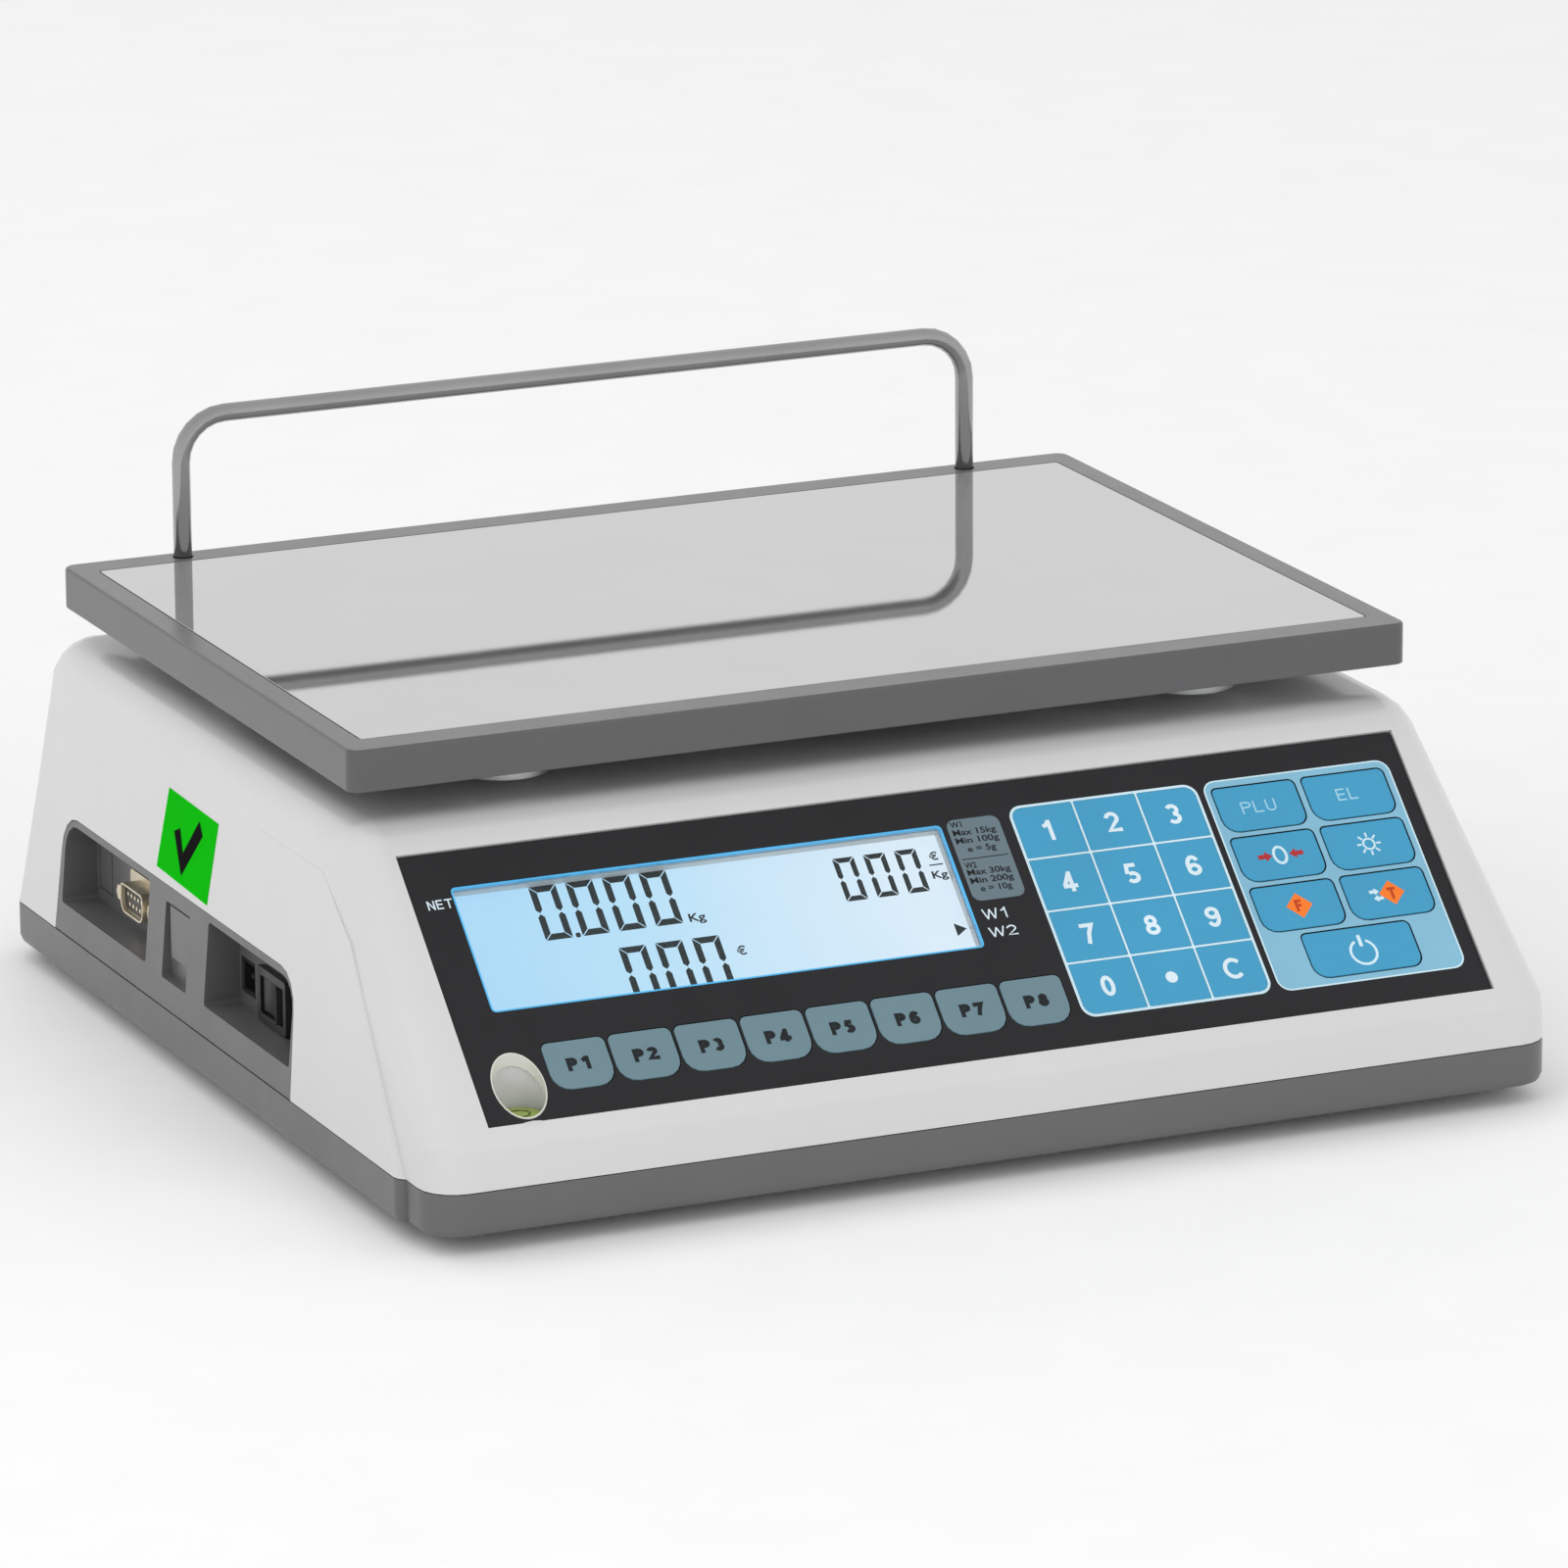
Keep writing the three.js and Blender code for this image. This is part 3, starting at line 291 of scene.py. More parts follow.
def vial_liquid():
    material, nodes, links = new_material("vial_liquid")
    shader = nodes["Principled BSDF"]
    shader.inputs["Transmission Weight"].default_value = 0.35
    shader.inputs["IOR"].default_value = 1.4
    shader.inputs["Roughness"].default_value = 0.08
    cloud = noise(nodes, links, 120, 2)
    tone = tint(nodes, links, cloud.outputs["Fac"], (0.50, 0.66, 0.10), 0.15)
    links.new(tone, shader.inputs["Base Color"])
    return material


BRUSHED = (1, 40, 1)
LOOKS = {
    "housing_plastic": surface(
        "housing_plastic", (0.61, 0.61, 0.607), 0.3, grain=(3200, 0.01), shade=0.012, smear=0.004, coat=0.4),
    "base_plastic": surface(
        "base_plastic", (0.112, 0.112, 0.114), 0.33, grain=(2600, 0.12), shade=0.03, smear=0.04),
    "overlay_film": surface(
        "overlay_film", (0.016, 0.016, 0.018), 0.5, grain=(5200, 0.1), shade=0.06, specular=0.22),
    "pan_paint": surface(
        "pan_paint", (0.092, 0.092, 0.094), 0.24, grain=(1500, 0.06), shade=0.03, smear=0.03),
    "polished_steel": surface(
        "polished_steel", (0.565, 0.565, 0.56), 0.03, 1, (2200, 0.003), 0.015, 0.01, BRUSHED),
    "rail_steel": surface("rail_steel", (0.36, 0.36, 0.365), 0.2, 1, (1200, 0.04), 0.06, 0.05),
    "cast_aluminium": surface("cast_aluminium", (0.48, 0.49, 0.5), 0.42, 1, (900, 0.4), 0.07),
    "circuit_board": surface("circuit_board", (0.02, 0.13, 0.05), 0.35, grain=(800, 0.4), shade=0.2),
    "battery_case": surface("battery_case", (0.03, 0.032, 0.036), 0.5, grain=(1500, 0.4), shade=0.1),
    "tinned_steel": surface("tinned_steel", (0.74, 0.66, 0.50), 0.3, 0.85, (900, 0.15), 0.1),
    "black_plastic": surface("black_plastic", (0.014, 0.014, 0.015), 0.38, grain=(2600, 0.2), shade=0.1),
    "rubber": surface("rubber", (0.03, 0.03, 0.031), 0.8, grain=(1400, 0.5), shade=0.15),
    "zinc_steel": surface("zinc_steel", (0.6, 0.6, 0.61), 0.3, 1, (900, 0.2), 0.06),
    "blue_key": surface(
        "blue_key", (0.055, 0.315, 0.525), 0.5, grain=(5200, 0.1), shade=0.03, specular=0.22),
    "grey_key": surface(
        "grey_key", (0.145, 0.232, 0.272), 0.5, grain=(5200, 0.1), shade=0.03, specular=0.22),
    "clear_window": glass("clear_window"),
    "lcd": backlight("lcd_backlight", 1.0),
    "vial": vial_liquid(),
}
WHITE_INK = ink("white_ink", (0.66, 0.78, 0.85))
PALE_INK = ink("pale_ink", (0.60, 0.78, 0.86))
DARK_INK = ink("dark_ink", (0.012, 0.015, 0.018))
SEGMENT_INK = ink("segment_ink", (0.006, 0.018, 0.022), 0.35)
SKY_INK = ink("sky_ink", (0.22, 0.46, 0.61))
SOFT_INK = ink("soft_ink", (0.33, 0.60, 0.75))
CREAM = surface("cream_plastic", (0.62, 0.62, 0.56), 0.5, grain=(3000, 0.05), shade=0.02)
ORANGE_INK = ink("orange_ink", (0.90, 0.20, 0.025))
RED_INK = ink("red_ink", (0.42, 0.03, 0.035))
RUST_INK = ink("rust_ink", (0.50, 0.055, 0.01))
SLATE_INK = ink("slate_ink", (0.135, 0.185, 0.215))
LABEL_GREEN = ink("label_green", (0.001, 0.47, 0.001), 0.7, 0.02)
LABEL_BLACK = ink("label_black", (0.004, 0.004, 0.004), 0.7, 0.02)
# Painted light: the housing's walls round the front window glow blue, a painted spill of the display's
# backlight.
PAINTED_BACKLIGHT_SPILL = glow("painted_backlight_spill", (0.05, 0.33, 0.60), 0.42)
LCD_RIM = glow("lcd_rim", (0.62, 0.82, 0.95), 0.55)


# ---------------------------------------------------------------- pieces from CAD nodes


def welded(node):
    """A CAD node's mesh with its triangles joined and its flat faces whole."""
    body = bmesh.new()
    body.from_mesh(NODES[node].data)
    bmesh.ops.remove_doubles(body, verts=body.verts, dist=3e-6)
    bmesh.ops.dissolve_limit(body, angle_limit=math.radians(0.6), verts=body.verts, edges=body.edges)
    return body


def round_edges(body, width, segments):
    sharp = [e for e in body.edges if len(e.link_faces) == 2 and e.calc_face_angle(0) > SHARP]
    bmesh.ops.bevel(
        body, geom=sharp, offset=width * MM, segments=segments, profile=0.5, affect="EDGES",
        clamp_overlap=True,
    )


def finished(node, width=0.3, segments=2, looks=None):
    """Stands for a CAD node: the same shape with small rounded edges and even shading.

    looks is a list of (material, test), where test takes a face's middle in millimetres in the frame.
    The first test that holds wins.
    """
    body = welded(node)
    if width:
        round_edges(body, width, segments)
    mesh = bpy.data.meshes.new(node)
    for face in body.faces:
        face.smooth = True
        if looks:
            middle = face.calc_center_median() / MM
            face.material_index = next(i for i, (_, test) in enumerate(looks) if test(middle))
    body.to_mesh(mesh)
    body.free()
    piece = bpy.data.objects.new(f"{node}_finish", mesh)
    bpy.context.scene.collection.objects.link(piece)
    for material in [look for look, _ in looks] if looks else [LOOKS[SLOT_OF[node]]]:
        mesh.materials.append(material)
    even = piece.modifiers.new("even shading", "WEIGHTED_NORMAL")
    even.weight = 100
    even.keep_sharp = False
    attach(piece, BODY_OF[node])
    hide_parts(node)
    return piece


def always(_):
    return True


# ---------------------------------------------------------------- flat pieces on a surface


def rectangle(x0, y0, x1, y1, radius=0.0, steps=6):
    """An outline in millimetres, anticlockwise, with rounded corners."""
    if not radius:
        return [(x0, y0), (x1, y0), (x1, y1), (x0, y1)]
    corners = [(x1 - radius, y0 + radius, -90), (x1 - radius, y1 - radius, 0),
               (x0 + radius, y1 - radius, 90), (x0 + radius, y0 + radius, 180)]
    points = []
    for x, y, start in corners:
        for i in range(steps + 1):
            angle = math.radians(start + 90 * i / steps)
            points.append((x + radius * math.cos(angle), y + radius * math.sin(angle)))
    return points


def circle(x, y, radius, steps=32, start=0.0, turn=2 * math.pi):
    """Points round a circle, or along an arc when turn is less than a whole one."""
    closed = turn >= 2 * math.pi
    count = steps if closed else steps + 1
    angles = [start + turn * i / steps for i in range(count)]
    return [(x + radius * math.cos(a), y + radius * math.sin(a)) for a in angles]


def moved(points, x, y, turn=0.0):
    """Points turned about zero and then shifted."""
    c, s = math.cos(turn), math.sin(turn)
    return [(x + px * c - py * s, y + px * s + py * c) for px, py in points]


def grown(points, distance):
    """A convex anticlockwise outline moved out by a distance."""
    result = []
    for i, (x, y) in enumerate(points):
        x0, y0 = points[i - 1]
        x1, y1 = points[(i + 1) % len(points)]
        before = Vector((y - y0, x0 - x)).normalized()
        after = Vector((y1 - y, x - x1)).normalized()
        out = (before + after) / max(1 + before.dot(after), 0.2)
        result.append((x + out.x * distance, y + out.y * distance))
    return result


def inlay(name, outlines, bottom, top, material, body, place):
    """A flat piece between closed outlines, from bottom to top. An outline inside another is a hole."""
    curve = bpy.data.curves.new(name, "CURVE")
    curve.dimensions = "2D"
    curve.fill_mode = "BOTH"
    curve.extrude = (top - bottom) / 2 * MM
    for outline in outlines:
        spline = curve.splines.new("POLY")
        spline.points.add(len(outline) - 1)
        for point, (x, y) in zip(spline.points, outline):
            point.co = (x * MM, y * MM, 0, 1)
        spline.use_cyclic_u = True
    return settled(name, curve, (bottom + top) / 2, material, body, place)


def settled(name, curve, height, material, body, place):
    """Turns a curve or text into a mesh that lies in its plane and rides on its body."""
    drawn = bpy.data.objects.new(f"{name}_line", curve)
    bpy.context.scene.collection.objects.link(drawn)
    bpy.context.view_layer.update()
    mesh = bpy.data.meshes.new_from_object(drawn.evaluated_get(bpy.context.evaluated_depsgraph_get()))
    bpy.data.objects.remove(drawn)
    mesh.name = name
    mesh.transform(place @ Matrix.Translation((0, 0, height * MM)))
    mesh.materials.clear()
    mesh.materials.append(material)
    piece = bpy.data.objects.new(name, mesh)
    bpy.context.scene.collection.objects.link(piece)
    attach(piece, body)
    return piece


def lettering(name, text, centre, height, bottom, material, body, place, bold, width, thick=0.03):
    """Printed characters in the built-in font, height tall and width wide, centred in the plane."""
    curve = bpy.data.curves.new(name, "FONT")
    curve.body = text
    curve.size = 1
    curve.offset = bold
    curve.resolution_u = 4
    drawn = bpy.data.objects.new(f"{name}_size", curve)
    bpy.context.scene.collection.objects.link(drawn)
    bpy.context.view_layer.update()
    corners = [Vector(c) for c in drawn.bound_box]
    bpy.data.objects.remove(drawn)
    low = [min(c[i] for c in corners) for i in range(2)]
    high = [max(c[i] for c in corners) for i in range(2)]
    scale_y = height * MM / CAP_HEIGHT
    scale_x = width * MM / (high[0] - low[0])
    curve.extrude = 0.5
    x = centre[0] * MM - (low[0] + high[0]) / 2 * scale_x
    y = centre[1] * MM - CAP_HEIGHT / 2 * scale_y
    print_place = Matrix.Translation((x, y, 0)) @ Matrix.Diagonal((scale_x, scale_y, thick * MM, 1))
    print_place = place @ Matrix.Translation((0, 0, bottom * MM)) @ print_place
    return settled(name, curve, 0, material, body, print_place)


# ---------------------------------------------------------------- characters drawn with strokes


def bow(x, y, radius_x, radius_y, start, end, steps=14):
    """Points on part of an ellipse, from one angle to another in degrees."""
    angles = [math.radians(start + (end - start) * i / steps) for i in range(steps + 1)]
    return [(x + radius_x * math.cos(a), y + radius_y * math.sin(a)) for a in angles]


def glyph(character, w):
    """A character one unit tall as centre lines, for strokes w wide. Its middle is at zero."""
    top = 0.5 - w / 2
    low = (0.02 - top) / 2
    high = top - (top - 0.02) / 2
    half = (top - 0.02) / 2
    side = 0.32 - w / 2
    stem = [(-side, -0.5), (-side, 0.5)]
    six = [bow(0, low, side, half + 0.02, 0, 360), bow(0.02, 0, side + 0.02, top, 205, 35)]
    shapes = {
        "0": [bow(0, 0, side - 0.02, top, 0, 360, 24)],
        "1": [[(0.08, -0.5), (0.08, 0.5)], [(-0.2, 0.2), (-0.03, 0.28), (0.07, 0.44)]],
        "2": [bow(0, top - side, side, side, 172, -28) + [(-side, -top), (side + w / 2, -top)]],
        "3": [bow(-0.02, high, side - 0.02, half, 150, -90), bow(-0.02, low, side, half + 0.01, 90, -150)],
        "4": [[(0.1, -0.5), (0.1, 0.5)], [(0.1, 0.5 - w / 3), (-side, -0.2)],
              [(-side - w / 3, -0.22), (0.34, -0.22)]],
        "5": [[(side, top), (-side + 0.07, top), (-side + 0.01, 0.0)],
              bow(-0.01, low, side, half + 0.01, 125, -150)],
        "6": six,
        "7": [[(-side - w / 3, top), (side, top), (0.04, 0.02), (-0.08, -0.5)]],
        "8": [bow(0, high, side - 0.04, half - 0.005, 0, 360), bow(0, low, side, half + 0.005, 0, 360)],
        "9": [[(-x, -y) for x, y in line] for line in six],
        "C": [bow(0.03, 0, side + 0.07, top, 42, 318, 22)],
        "E": [stem, [(-side, top), (side, top)], [(-side, 0.02), (side - 0.03, 0.02)],
              [(-side, -top), (side, -top)]],
        "F": [stem, [(-side, top), (side, top)], [(-side, 0.02), (side - 0.05, 0.02)]],
        "L": [stem, [(-side, -top), (side, -top)]],
        "N": [stem, [(side, -0.5), (side, 0.5)], [(-side, 0.5 - w / 3), (side, w / 3 - 0.5)]],
        "P": [stem,
              [(-side, top), (0, top)] + bow(0.02, high, side, half, 90, -90) + [(-side, high - half)]],
        "T": [[(-0.33, top), (0.33, top)], [(0, top), (0, -0.5)]],
        "U": [[(-side, 0.5)] + bow(0, -0.5 + w / 2 + side, side, side, 180, 360) + [(side, 0.5)]],
        "W": [[(-0.46, 0.5), (-0.23, -0.46)], [(-0.23, -0.46), (0, 0.44)], [(0, 0.44), (0.23, -0.46)],
              [(0.23, -0.46), (0.46, 0.5)]],
    }
    return shapes[character]


def ribbon(line, width):
    """The two edges of a stroke along a centre line, with mitred bends and square ends."""
    closed = len(line) > 3 and math.dist(line[0], line[-1]) < 1e-6
    points = line[:-1] if closed else line
    count = len(points)
    edges = []
    for i, point in enumerate(points):
        before = points[i - 1] if i or closed else None
        after = points[(i + 1) % count] if i < count - 1 or closed else None
        ends = [(a, b) for a, b in ((before, point), (point, after)) if a is not None and b is not None]
        ways = [Vector(b) - Vector(a) for a, b in ends]
        normals = [Vector((-way.y, way.x)).normalized() for way in ways]
        out = sum(normals, Vector((0, 0)))
        out = out / max(out.length_squared / len(normals), 0.5) * (width / 2)
        edges.append(((point[0] + out.x, point[1] + out.y), (point[0] - out.x, point[1] - out.y)))
    return edges, closed


def riding_mesh(name, points, faces, material, body):
    """A mesh from points in metres in the frame, which rides on a body."""
    mesh = bpy.data.meshes.new(name)
    mesh.from_pydata(points, [], faces)
    mesh.materials.append(material)
    piece = bpy.data.objects.new(name, mesh)
    bpy.context.scene.collection.objects.link(piece)
    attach(piece, body)
    return piece


STROKE_STEP = 0.007    # each stroke of a character lies this much above the one before


def strokes(name, lines, width, bottom, top, material, body, place):
    """Raised print made of strokes: lines are centre lines in the plane, in millimetres."""
    points, faces = [], []
    for number, line in enumerate(lines):
        edges, closed = ribbon(line, width)
        first = len(points)
        face = top + STROKE_STEP * number
        for left, right in edges:
            points += [(*left, face), (*right, face), (*left, bottom), (*right, bottom)]
        count = len(edges)
        for i in range(count if closed else count - 1):
            a, b = first + 4 * i, first + 4 * ((i + 1) % count)
            faces += [(a, a + 1, b + 1, b), (a + 2, a, b, b + 2),
                      (a + 1, a + 3, b + 3, b + 1), (a + 3, a + 2, b + 2, b + 3)]
        if not closed:
            end = first + 4 * (count - 1)
            faces += [(first, first + 2, first + 3, first + 1), (end, end + 1, end + 3, end + 2)]
    return riding_mesh(name, [place @ (Vector(p) * MM) for p in points], faces, material, body)


def stroke_text(name, text, centre, height, stroke, bottom, material, body, place, width=None):
    """Characters drawn with strokes that are stroke thick. width is the whole text's, in millimetres."""
    w = stroke / height
    widths = [0.98 if c == "W" else 0.66 for c in text]
    gap = 0.1
    whole = sum(widths) + gap * (len(text) - 1)
    stretch = 1 if width is None else width / (whole * height)
    x = -whole / 2
    lines = []
    for character, wide in zip(text, widths):
        for line in glyph(character, w):
            lines.append([
                (centre[0] + (x + wide / 2 + px) * height * stretch, centre[1] + py * height)
                for px, py in line
            ])
        x += wide + gap
    return strokes(name, lines, stroke, bottom, bottom + 0.03, material, body, place)


def in_plane(node, place):
    """The centre of a CAD node, in millimetres in a plane's own axes."""
    low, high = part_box(node)
    return (place.inverted() @ ((low + high) / 2)) / MM


def key_outline(node):
    """The outline of a key's flat top, anticlockwise, in the keypad's plane."""
    points = [(SLOPE.inverted() @ v.co) / MM for v in NODES[node].data.vertices]
    top = max(p.z for p in points)
    flat = sorted({(round(p.x, 3), round(p.y, 3)) for p in points if p.z > top - 0.05})
    x = sum(p[0] for p in flat) / len(flat)
    y = sum(p[1] for p in flat) / len(flat)
    return sorted(flat, key=lambda p: math.atan2(p[1] - y, p[0] - x))


# ---------------------------------------------------------------- CAD nodes with their finishes


def low_part(limit):
    return lambda middle: middle.z < limit


# Node, width of its rounded edges in millimetres, steps across them.
EDGES = [
    ("top_housing", 0.45, 3), ("base_tray", 0.45, 3), ("socket_panel", 0.3, 2), ("battery_cover", 0.3, 2),
    ("keypad_overlay", 0.12, 1), ("pan_frame", 0.35, 3), ("pan_plate", 0.15, 2), ("guard_rail", 0, 0),
    ("pan_support", 0.8, 2), ("load_cell", 0.5, 2), ("level_vial", 0.2, 2), ("lcd_lens", 0.2, 2),
    ("power_jack", 0.2, 2), ("switch_frame", 0.25, 2), ("rocker_switch", 0.5, 3),
]
FOOT_PAD_TOP = 4.6
BATTERY_CASE_TOP = 55.3


def finish_nodes():
    for node, width, segments in EDGES:
        finished(node, width, segments)
    rubber_foot = [(LOOKS["rubber"], low_part(FOOT_PAD_TOP)), (LOOKS["zinc_steel"], always)]
    for corner in ("front_left", "front_right", "back_left", "back_right"):
        finished(f"support_pad_{corner}", 0.3, 2)
        finished(f"housing_screw_{corner}", 0.15, 2)
        finished(f"foot_{corner}", 0.4, 2, rubber_foot)
    terminals = [(LOOKS["battery_case"], low_part(BATTERY_CASE_TOP)), (LOOKS["zinc_steel"], always)]
    finished("battery", 0.6, 2, terminals)
    for node in NODES:
        if node.startswith("key_"):
            finished(node, 0.22, 2)


def deeper_than(place, depth):
    """True for faces that lie deeper in a plane than depth."""
    inverse = place.inverted()
    return lambda middle: ((inverse @ (middle * MM)) / MM).z < depth


def finish_boards():
    chip = LOOKS["black_plastic"]
    board = LOOKS["circuit_board"]
    finished("main_board", 0.15, 1, [(chip, deeper_than(SLOPE, -9.05)), (board, always)])
    for node, place, face in (("lcd_module", SLOPE, LCD_FACE), ("rear_lcd_module", REAR, REAR_LCD_FACE)):
        finished(node, 0.2, 1, [
            (board, deeper_than(place, face - 4.8)),
            (LCD_RIM, deeper_than(place, face - 0.05)),
            (LOOKS["lcd"], always),
        ])


def is_insert(middle):
    """True for the connector's dark insert: what lies behind its flange, and the face inside its shell."""
    on_face = -169.3 < middle.x < -168.7 and abs(middle.z - SERIAL_Z) < 3.6
    return middle.x > -163 or on_face


def finish_connector():
    """The connector's shell and flange are plated, and its insert holds nine contacts."""
    plated = LOOKS["tinned_steel"]
    finished("serial_connector", 0.12, 1, [(LOOKS["black_plastic"], is_insert), (plated, always)])
    place = wall_plane(SERIAL_X, SERIAL_Y, SERIAL_Z, -math.pi / 2, 0)
    contacts = []
    for row, count in ((1.42, 5), (-1.42, 4)):
        for i in range(count):
            contacts.append(circle((i - (count - 1) / 2) * 2.77, row, 0.62, 12))
    inlay("serial_contacts", contacts, 0, 0.35, plated, BODY_OF["serial_connector"], place)


# ---------------------------------------------------------------- keypad prints


def print_on_film(name, outlines, material):
    return inlay(name, outlines, FILM - 0.01, FILM + 0.04, material, FIXED, SLOPE)


def film_text(name, text, centre, height, stroke, material, **style):
    return stroke_text(name, text, centre, height, stroke, FILM + 0.01, material, FIXED, SLOPE, **style)


def key_print(node, name, outlines, material):
    centre = in_plane(node, SLOPE)
    placed = [moved(outline, centre.x, centre.y) for outline in outlines]
    return inlay(f"{node}_{name}", placed, KEY_FACE - 0.01, KEY_FACE + 0.03, material, BODY_OF[node], SLOPE)


def key_text(node, text, height, stroke, material, dx=0.0, dy=0.0, **style):
    centre = in_plane(node, SLOPE)
    place = (centre.x + dx, centre.y + dy)
    return stroke_text(
        f"{node}_print", text, place, height, stroke, KEY_FACE, material, BODY_OF[node], SLOPE, **style)


def arc_band(radius, width, start, turn):
    outer = circle(0, 0, radius + width / 2, 28, start, turn)
    inner = circle(0, 0, radius - width / 2, 28, start, turn)
    return outer + inner[::-1]


def ring(radius, width):
    return [circle(0, 0, radius + width / 2), circle(0, 0, radius - width / 2)]


def arrow(x, y, direction, size):
    """A short thick arrow that ends at x, y."""
    head, half, shaft = 1.9 * size, 1.45 * size, 0.65 * size
    tail = 3.9 * size
    points = [(0, 0), (-head, half), (-head, shaft), (-tail, shaft)]
    points += [(px, -py) for px, py in points[:0:-1]]
    return moved(points, x, y, 0 if direction > 0 else math.pi)


def diamond(half):
    return [(half, 0), (0, half), (-half, 0), (0, -half)]


def print_number_pad():
    outer = rectangle(29.6, -35, 88.2, 35, 3.6)
    keys = [grown(key_outline(node), 0.05) for node in NUMBER_KEYS]
    lines = [grown(outer, -0.03)] + keys
    inlay("number_pad_lines", lines, WELL_FLOOR, KEY_FACE - 0.05, PALE_INK, FIXED, SLOPE)
    print_on_film("number_pad_border", [grown(outer, 0.5), outer], PALE_INK)
    for digit in "1234567890":
        key_text(f"key_{digit}", digit, 6.7, 1.25, WHITE_INK, -0.15 if digit == "1" else 0, width=4.7)
    key_text("key_clear", "C", 6.9, 1.25, WHITE_INK, 0, 0.1, width=5.7)
    key_print("key_point", "print", [circle(0, 0, 1.85)], WHITE_INK)


def print_function_pad():
    keys = [grown(key_outline(node), 0.46) for node in FUNCTION_KEYS]
    panel = rectangle(91.1, -35.3, 150.0, 35.0, 3.6)
    print_on_film("function_pad", [panel] + keys, SKY_INK)
    print_on_film("function_pad_border", [grown(panel, 0.45), panel], PALE_INK)
    key_text("key_lookup", "PLU", 4.0, 0.5, SOFT_INK, -0.5, 0, width=11.2)
    key_text("key_memory", "EL", 4.0, 0.5, SOFT_INK, -0.6, 0.3, width=6.9)
    key_text("key_zero", "0", 6.3, 0.85, PALE_INK, 0.3, 0.2, width=5.4)
    arrows = [arrow(-2.2, 0.2, 1, 1.15), arrow(3.2, 0.2, -1, 1.15)]
    key_print("key_zero", "arrows", arrows, RED_INK)
    rays = [moved(rectangle(2.3, -0.3, 3.8, 0.3), 0.1, 0, math.radians(45 * i)) for i in range(8)]
    key_print("key_backlight", "print", [moved(line, 0.1, 0) for line in ring(1.75, 0.6)] + rays, PALE_INK)
    key_print("key_function", "print", [moved(diamond(4.2), 0.2, 0)], ORANGE_INK)
    key_letter("key_function", "F", 0.2)
    key_print("key_tare", "print", [moved(diamond(4.1), 1.2, 0.2)], ORANGE_INK)
    key_letter("key_tare", "T", 1.2)
    key_print("key_tare", "arrows", [arrow(-2.6, 1.15, 1, 0.8), arrow(-5.0, -1.15, -1, 0.8)], PALE_INK)
    power = [arc_band(4.0, 0.8, math.radians(115), math.radians(310)), rectangle(-0.55, 1.9, 0.55, 5.7)]
    key_print("key_power", "print", [moved(line, 0.1, -0.9) for line in power], PALE_INK)


def key_letter(node, letter, dx):
    centre = in_plane(node, SLOPE)
    stroke_text(f"{node}_letter", letter, (centre.x + dx, centre.y), 3.9, 0.85, KEY_FACE + 0.03, RUST_INK,
                BODY_OF[node], SLOPE)


def print_preset_keys():
    for i in range(1, 9):
        key_text(f"key_preset_{i}", f"P{i}", 4.2, 1.28, DARK_INK, width=7.9)


def print_capacity_plate():
    plate = rectangle(9.2, 6.4, 25.6, 33.6, 2.6)
    print_on_film("capacity_plate", [plate], SLATE_INK)
    rows = [("W1", 32.0), ("Max 15kg", 29.3), ("Min 100g", 26.6), ("e = 5g", 23.6),
            ("W2", 18.3), ("Max 30kg", 16.0), ("Min 200g", 13.2), ("e = 10g", 10.4)]
    for i, (text, y) in enumerate(rows):
        width = {2: 3.6, 6: 8.8, 7: 9.8, 8: 13.4}[len(text)]
        middle = 17.4 if "=" in text else 10.3 + width / 2
        lettering(f"capacity_line_{i + 1}", text, (middle, y), 2.0, FILM + 0.05, DARK_INK, FIXED, SLOPE,
                  bold=0.02, width=width)
    line = rectangle(10.2, 20.2, 24.6, 20.5)
    inlay("capacity_rule", [line], FILM + 0.03, FILM + 0.06, DARK_INK, FIXED, SLOPE)
    film_text("range_mark_1", "W1", (14.4, 1.8), 3.5, 0.45, WHITE_INK, width=8.2)
    film_text("range_mark_2", "W2", (14.6, -4.2), 3.3, 0.45, WHITE_INK, width=8.6)
    film_text("net_mark", "NET", (-147.1, 27.7), 3.0, 0.42, WHITE_INK, width=7.6)


# ---------------------------------------------------------------- displays


def zero_segments(x, y, width, height, stroke, gap=0.2):
    """The six lit segments of a zero, whose lower left corner is x, y, as mitred outlines."""
    w, h, s, g = width, height, stroke, gap
    middle = h / 2
    top = [(g, h), (w - g, h), (w - g - s, h - s), (g + s, h - s)]
    bottom = [(px, h - py) for px, py in top]
    left_high = [(0, h - g), (s, h - g - s), (s, middle + g + s / 2), (s / 2, middle + g),
                 (0, middle + g + s / 2)]
    right_high = [(w - px, py) for px, py in left_high]
    left_low = [(px, h - py) for px, py in left_high]
    right_low = [(w - px, h - py) for px, py in left_high]
    shapes = [top, bottom, left_high, right_high, left_low, right_low]
    return [[(x + px, y + py) for px, py in shape] for shape in shapes]


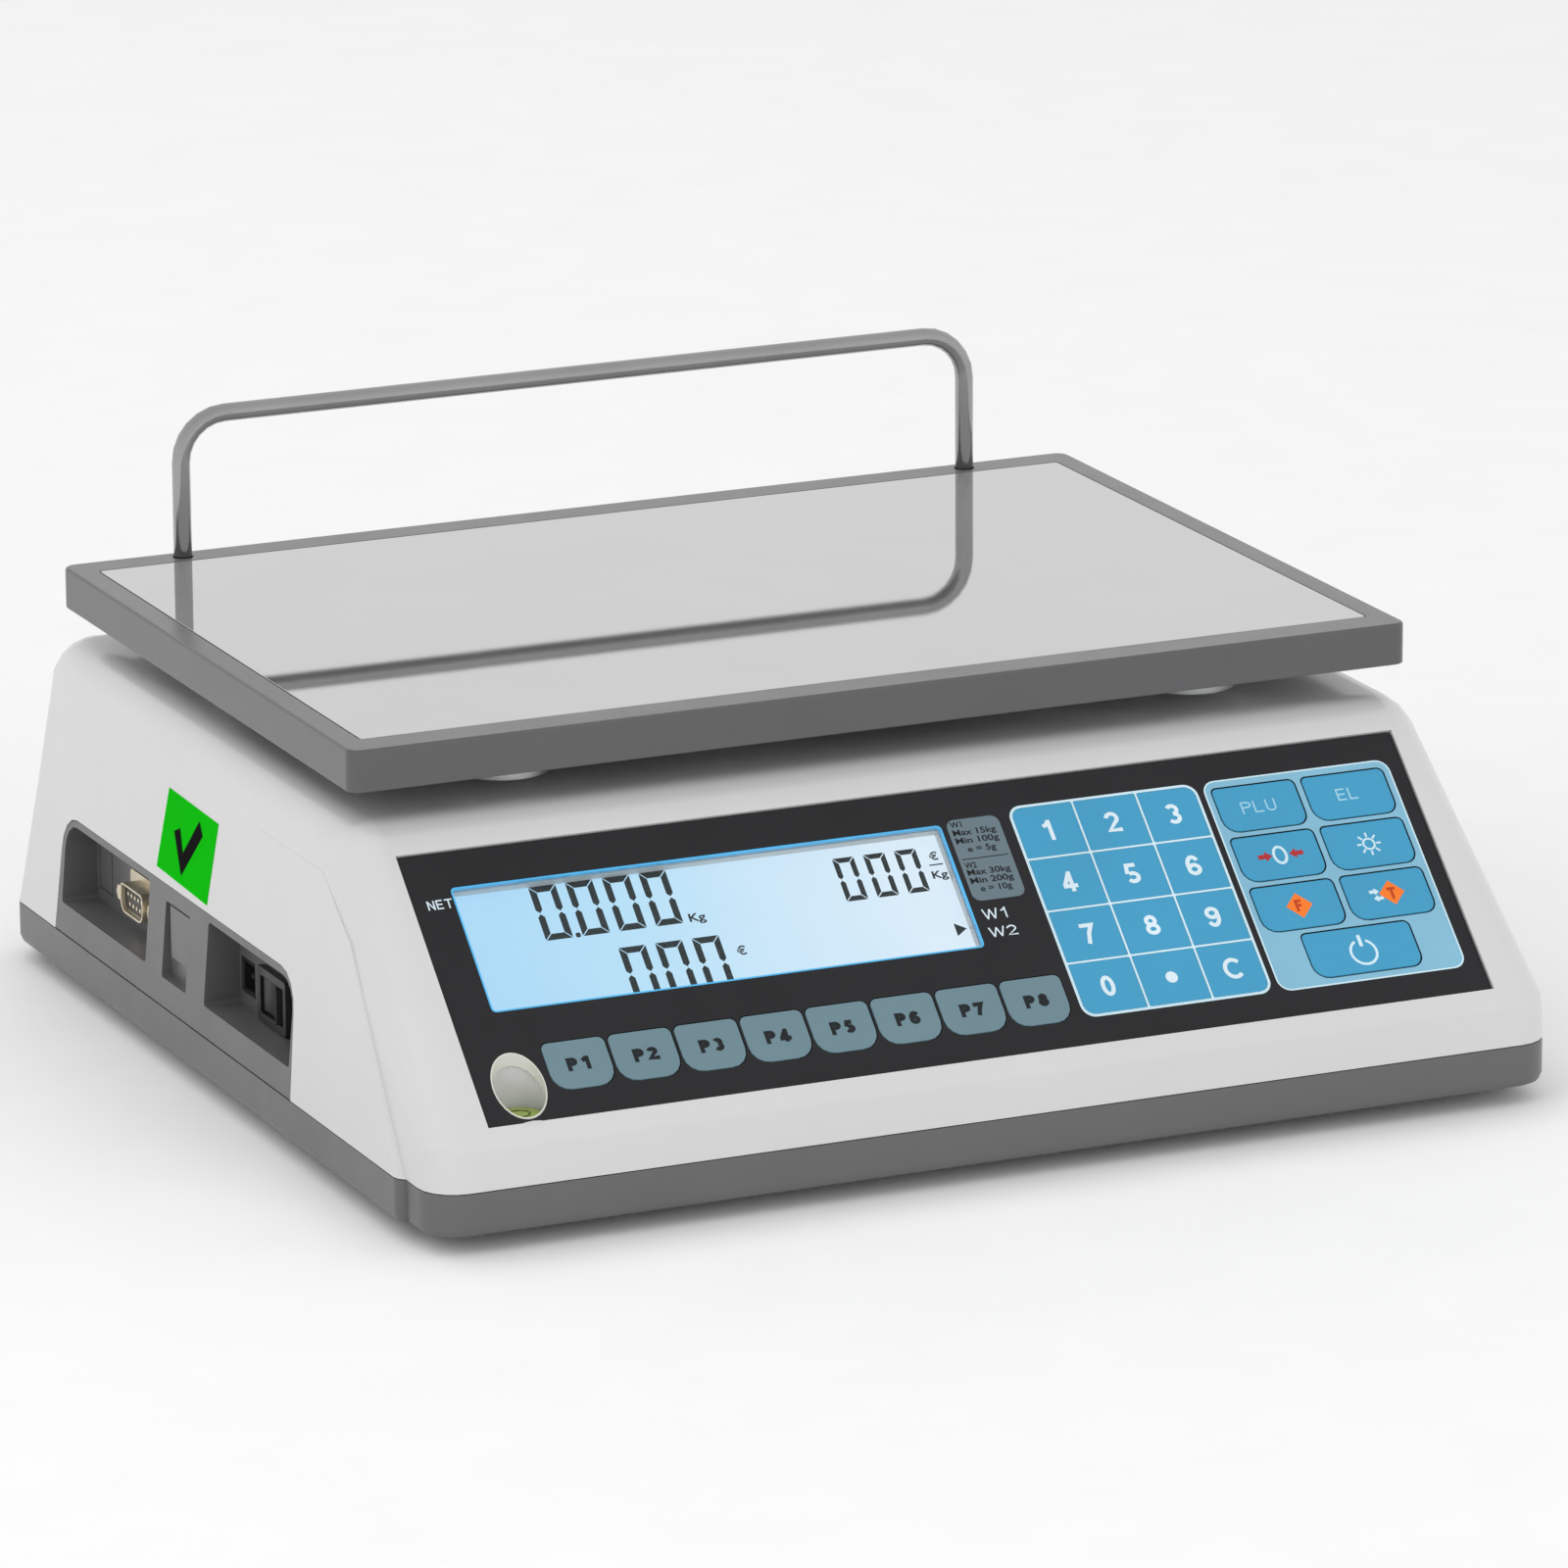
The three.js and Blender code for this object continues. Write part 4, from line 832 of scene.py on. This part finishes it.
def display_content(prefix, place, face, dx, dy):
    """Weight, unit price and total on a display, shifted from where the front one has them."""
    shapes = []
    for i in range(4):
        shapes += zero_segments(-118.0 + 11.15 * i, 14.5, 8.2, 17.7, 2.0)
    shapes.append(rectangle(-108.9, 14.3, -107.4, 15.8, 0.5))
    for i in range(3):
        shapes += zero_segments(-26.1 + 9.6 * i, 14.4, 6.6, 14.3, 1.6)
        shapes += zero_segments(-98.0 + 11.15 * i, -8.5, 8.2, 17.7, 2.0)
    shapes.append([(3.0, 2.9), (3.0, -1.3), (6.4, 0.8)])
    shapes.append(rectangle(2.2, 22.4, 6.4, 22.8))
    shifted = [moved(shape, dx, dy) for shape in shapes]
    inlay(f"{prefix}_segments", shifted, face, face + 0.06, SEGMENT_INK, FIXED, place)
    texts = [("unit_weight", "Kg", -71.8, 15.9, 2.7, 5.0), ("unit_price_top", "€", 4.4, 25.5, 2.6, 2.7),
             ("unit_price_low", "Kg", 4.4, 19.4, 2.5, 4.8), ("unit_total", "€", -62.3, 3.4, 2.8, 2.8)]
    for name, text, x, y, height, width in texts:
        lettering(f"{prefix}_{name}", text, (x + dx, y + dy), height, face + 0.01, SEGMENT_INK, FIXED,
                  place, bold=0.022, width=width, thick=0.05)


def front_display():
    display_content("front", SLOPE, LCD_FACE, 0, 0)
    outer = rectangle(-142.75, -8.55, 7.65, 32.65, 1.5)
    inner = rectangle(-142.15, -7.95, 7.05, 32.05, 1.0)
    # The band in the window's walls glows: painted backlight spill on the housing, not a lamp.
    inlay("window_painted_backlight", [outer, inner], -2.6, FILM - 0.12, PAINTED_BACKLIGHT_SPILL, FIXED, SLOPE)


def rear_display():
    border = [rectangle(-102, -27, 102, 27, 2), rectangle(-75.1, -20.5, 75.1, 20.5, 1.5)]
    film = inlay("rear_film", border, -1.6, -0.4, LOOKS["overlay_film"], FIXED, REAR)
    pane = [rectangle(-75, -20.4, 75, 20.4, 1.4)]
    window = inlay("rear_window", pane, -1.55, -0.45, LOOKS["clear_window"], FIXED, REAR)
    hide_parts("rear_overlay")
    display_content("rear", REAR, REAR_LCD_FACE, 67.5, -12)


# ---------------------------------------------------------------- small things


def side_label():
    """A slanted four-sided green label with a tick, on the socket side."""
    corners = [(44.7, 57.6), (4.0, 56.3), (-1.2, 81.6), (38.4, 82.5)]
    placed = [(LABEL_Y - y, (z - LABEL_Z) / math.cos(SIDE_LEAN)) for y, z in corners]
    inlay("side_label", [placed], 0.0, 0.12, LABEL_GREEN, FIXED, LABEL)
    tick = [(-11.0, 1.6), (-6.4, 3.6), (-3.2, -3.0), (8.2, 9.4), (11.4, 5.6), (-3.6, -10.0)]
    inlay("side_label_tick", [tick], 0.1, 0.16, LABEL_BLACK, FIXED, LABEL)


def slope_height(y):
    """The height of the slope's surface at y, in millimetres."""
    return SLOPE_Z + (y - SLOPE_Y) * math.tan(SLOPE_LEAN)


def level_liner():
    """A pale upright tube in the level's sight well, cut off along the slope."""
    points, faces, count = [], [], 48
    for radius in (7.45, 7.8):
        for x, y in circle(SIGHT_X, SIGHT_Y, radius, count):
            top = slope_height(y) - 1.06
            points += [(x, y, top), (x, y, top - 3.4)]
    for i in range(count):
        a, b = 2 * i, 2 * ((i + 1) % count)
        c, d = a + 2 * count, b + 2 * count
        faces += [(a, b, b + 1, a + 1), (d, c, c + 1, d + 1), (b, a, c, d), (a + 1, b + 1, d + 1, c + 1)]
    riding_mesh("level_liner", [Vector(point) * MM for point in points], faces, CREAM, FIXED)


def level_ring():
    """The ring printed on the vial's top, which the bubble sits in."""
    vial_low, vial_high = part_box("level_vial")
    centre = (vial_low + vial_high) / 2
    place = Matrix.Translation((centre.x, centre.y, vial_high.z))
    inlay("level_ring", [circle(0, 0, 3.1), circle(0, 0, 2.8)], -0.15, 0.02, DARK_INK, FIXED, place)


make_camera()
make_world()
make_stage()
area_light("left_key", (-1.9, -0.6, 1.4), (0, 0, 0.08), (1.2, 1.2), 6)
area_light("top_soft", (-0.7, 0.9, 2.2), (0, 0, 0.05), (1.6, 1.6), 7)
area_light("front_fill", (0.2, -2.6, 0.9), (0, 0, 0.05), (1.6, 1.2), 11)
finish_nodes()
finish_boards()
finish_connector()
print_number_pad()
print_function_pad()
print_preset_keys()
print_capacity_plate()
front_display()
rear_display()
side_label()
level_liner()
level_ring()
bpy.context.scene.view_settings.view_transform = "Standard"
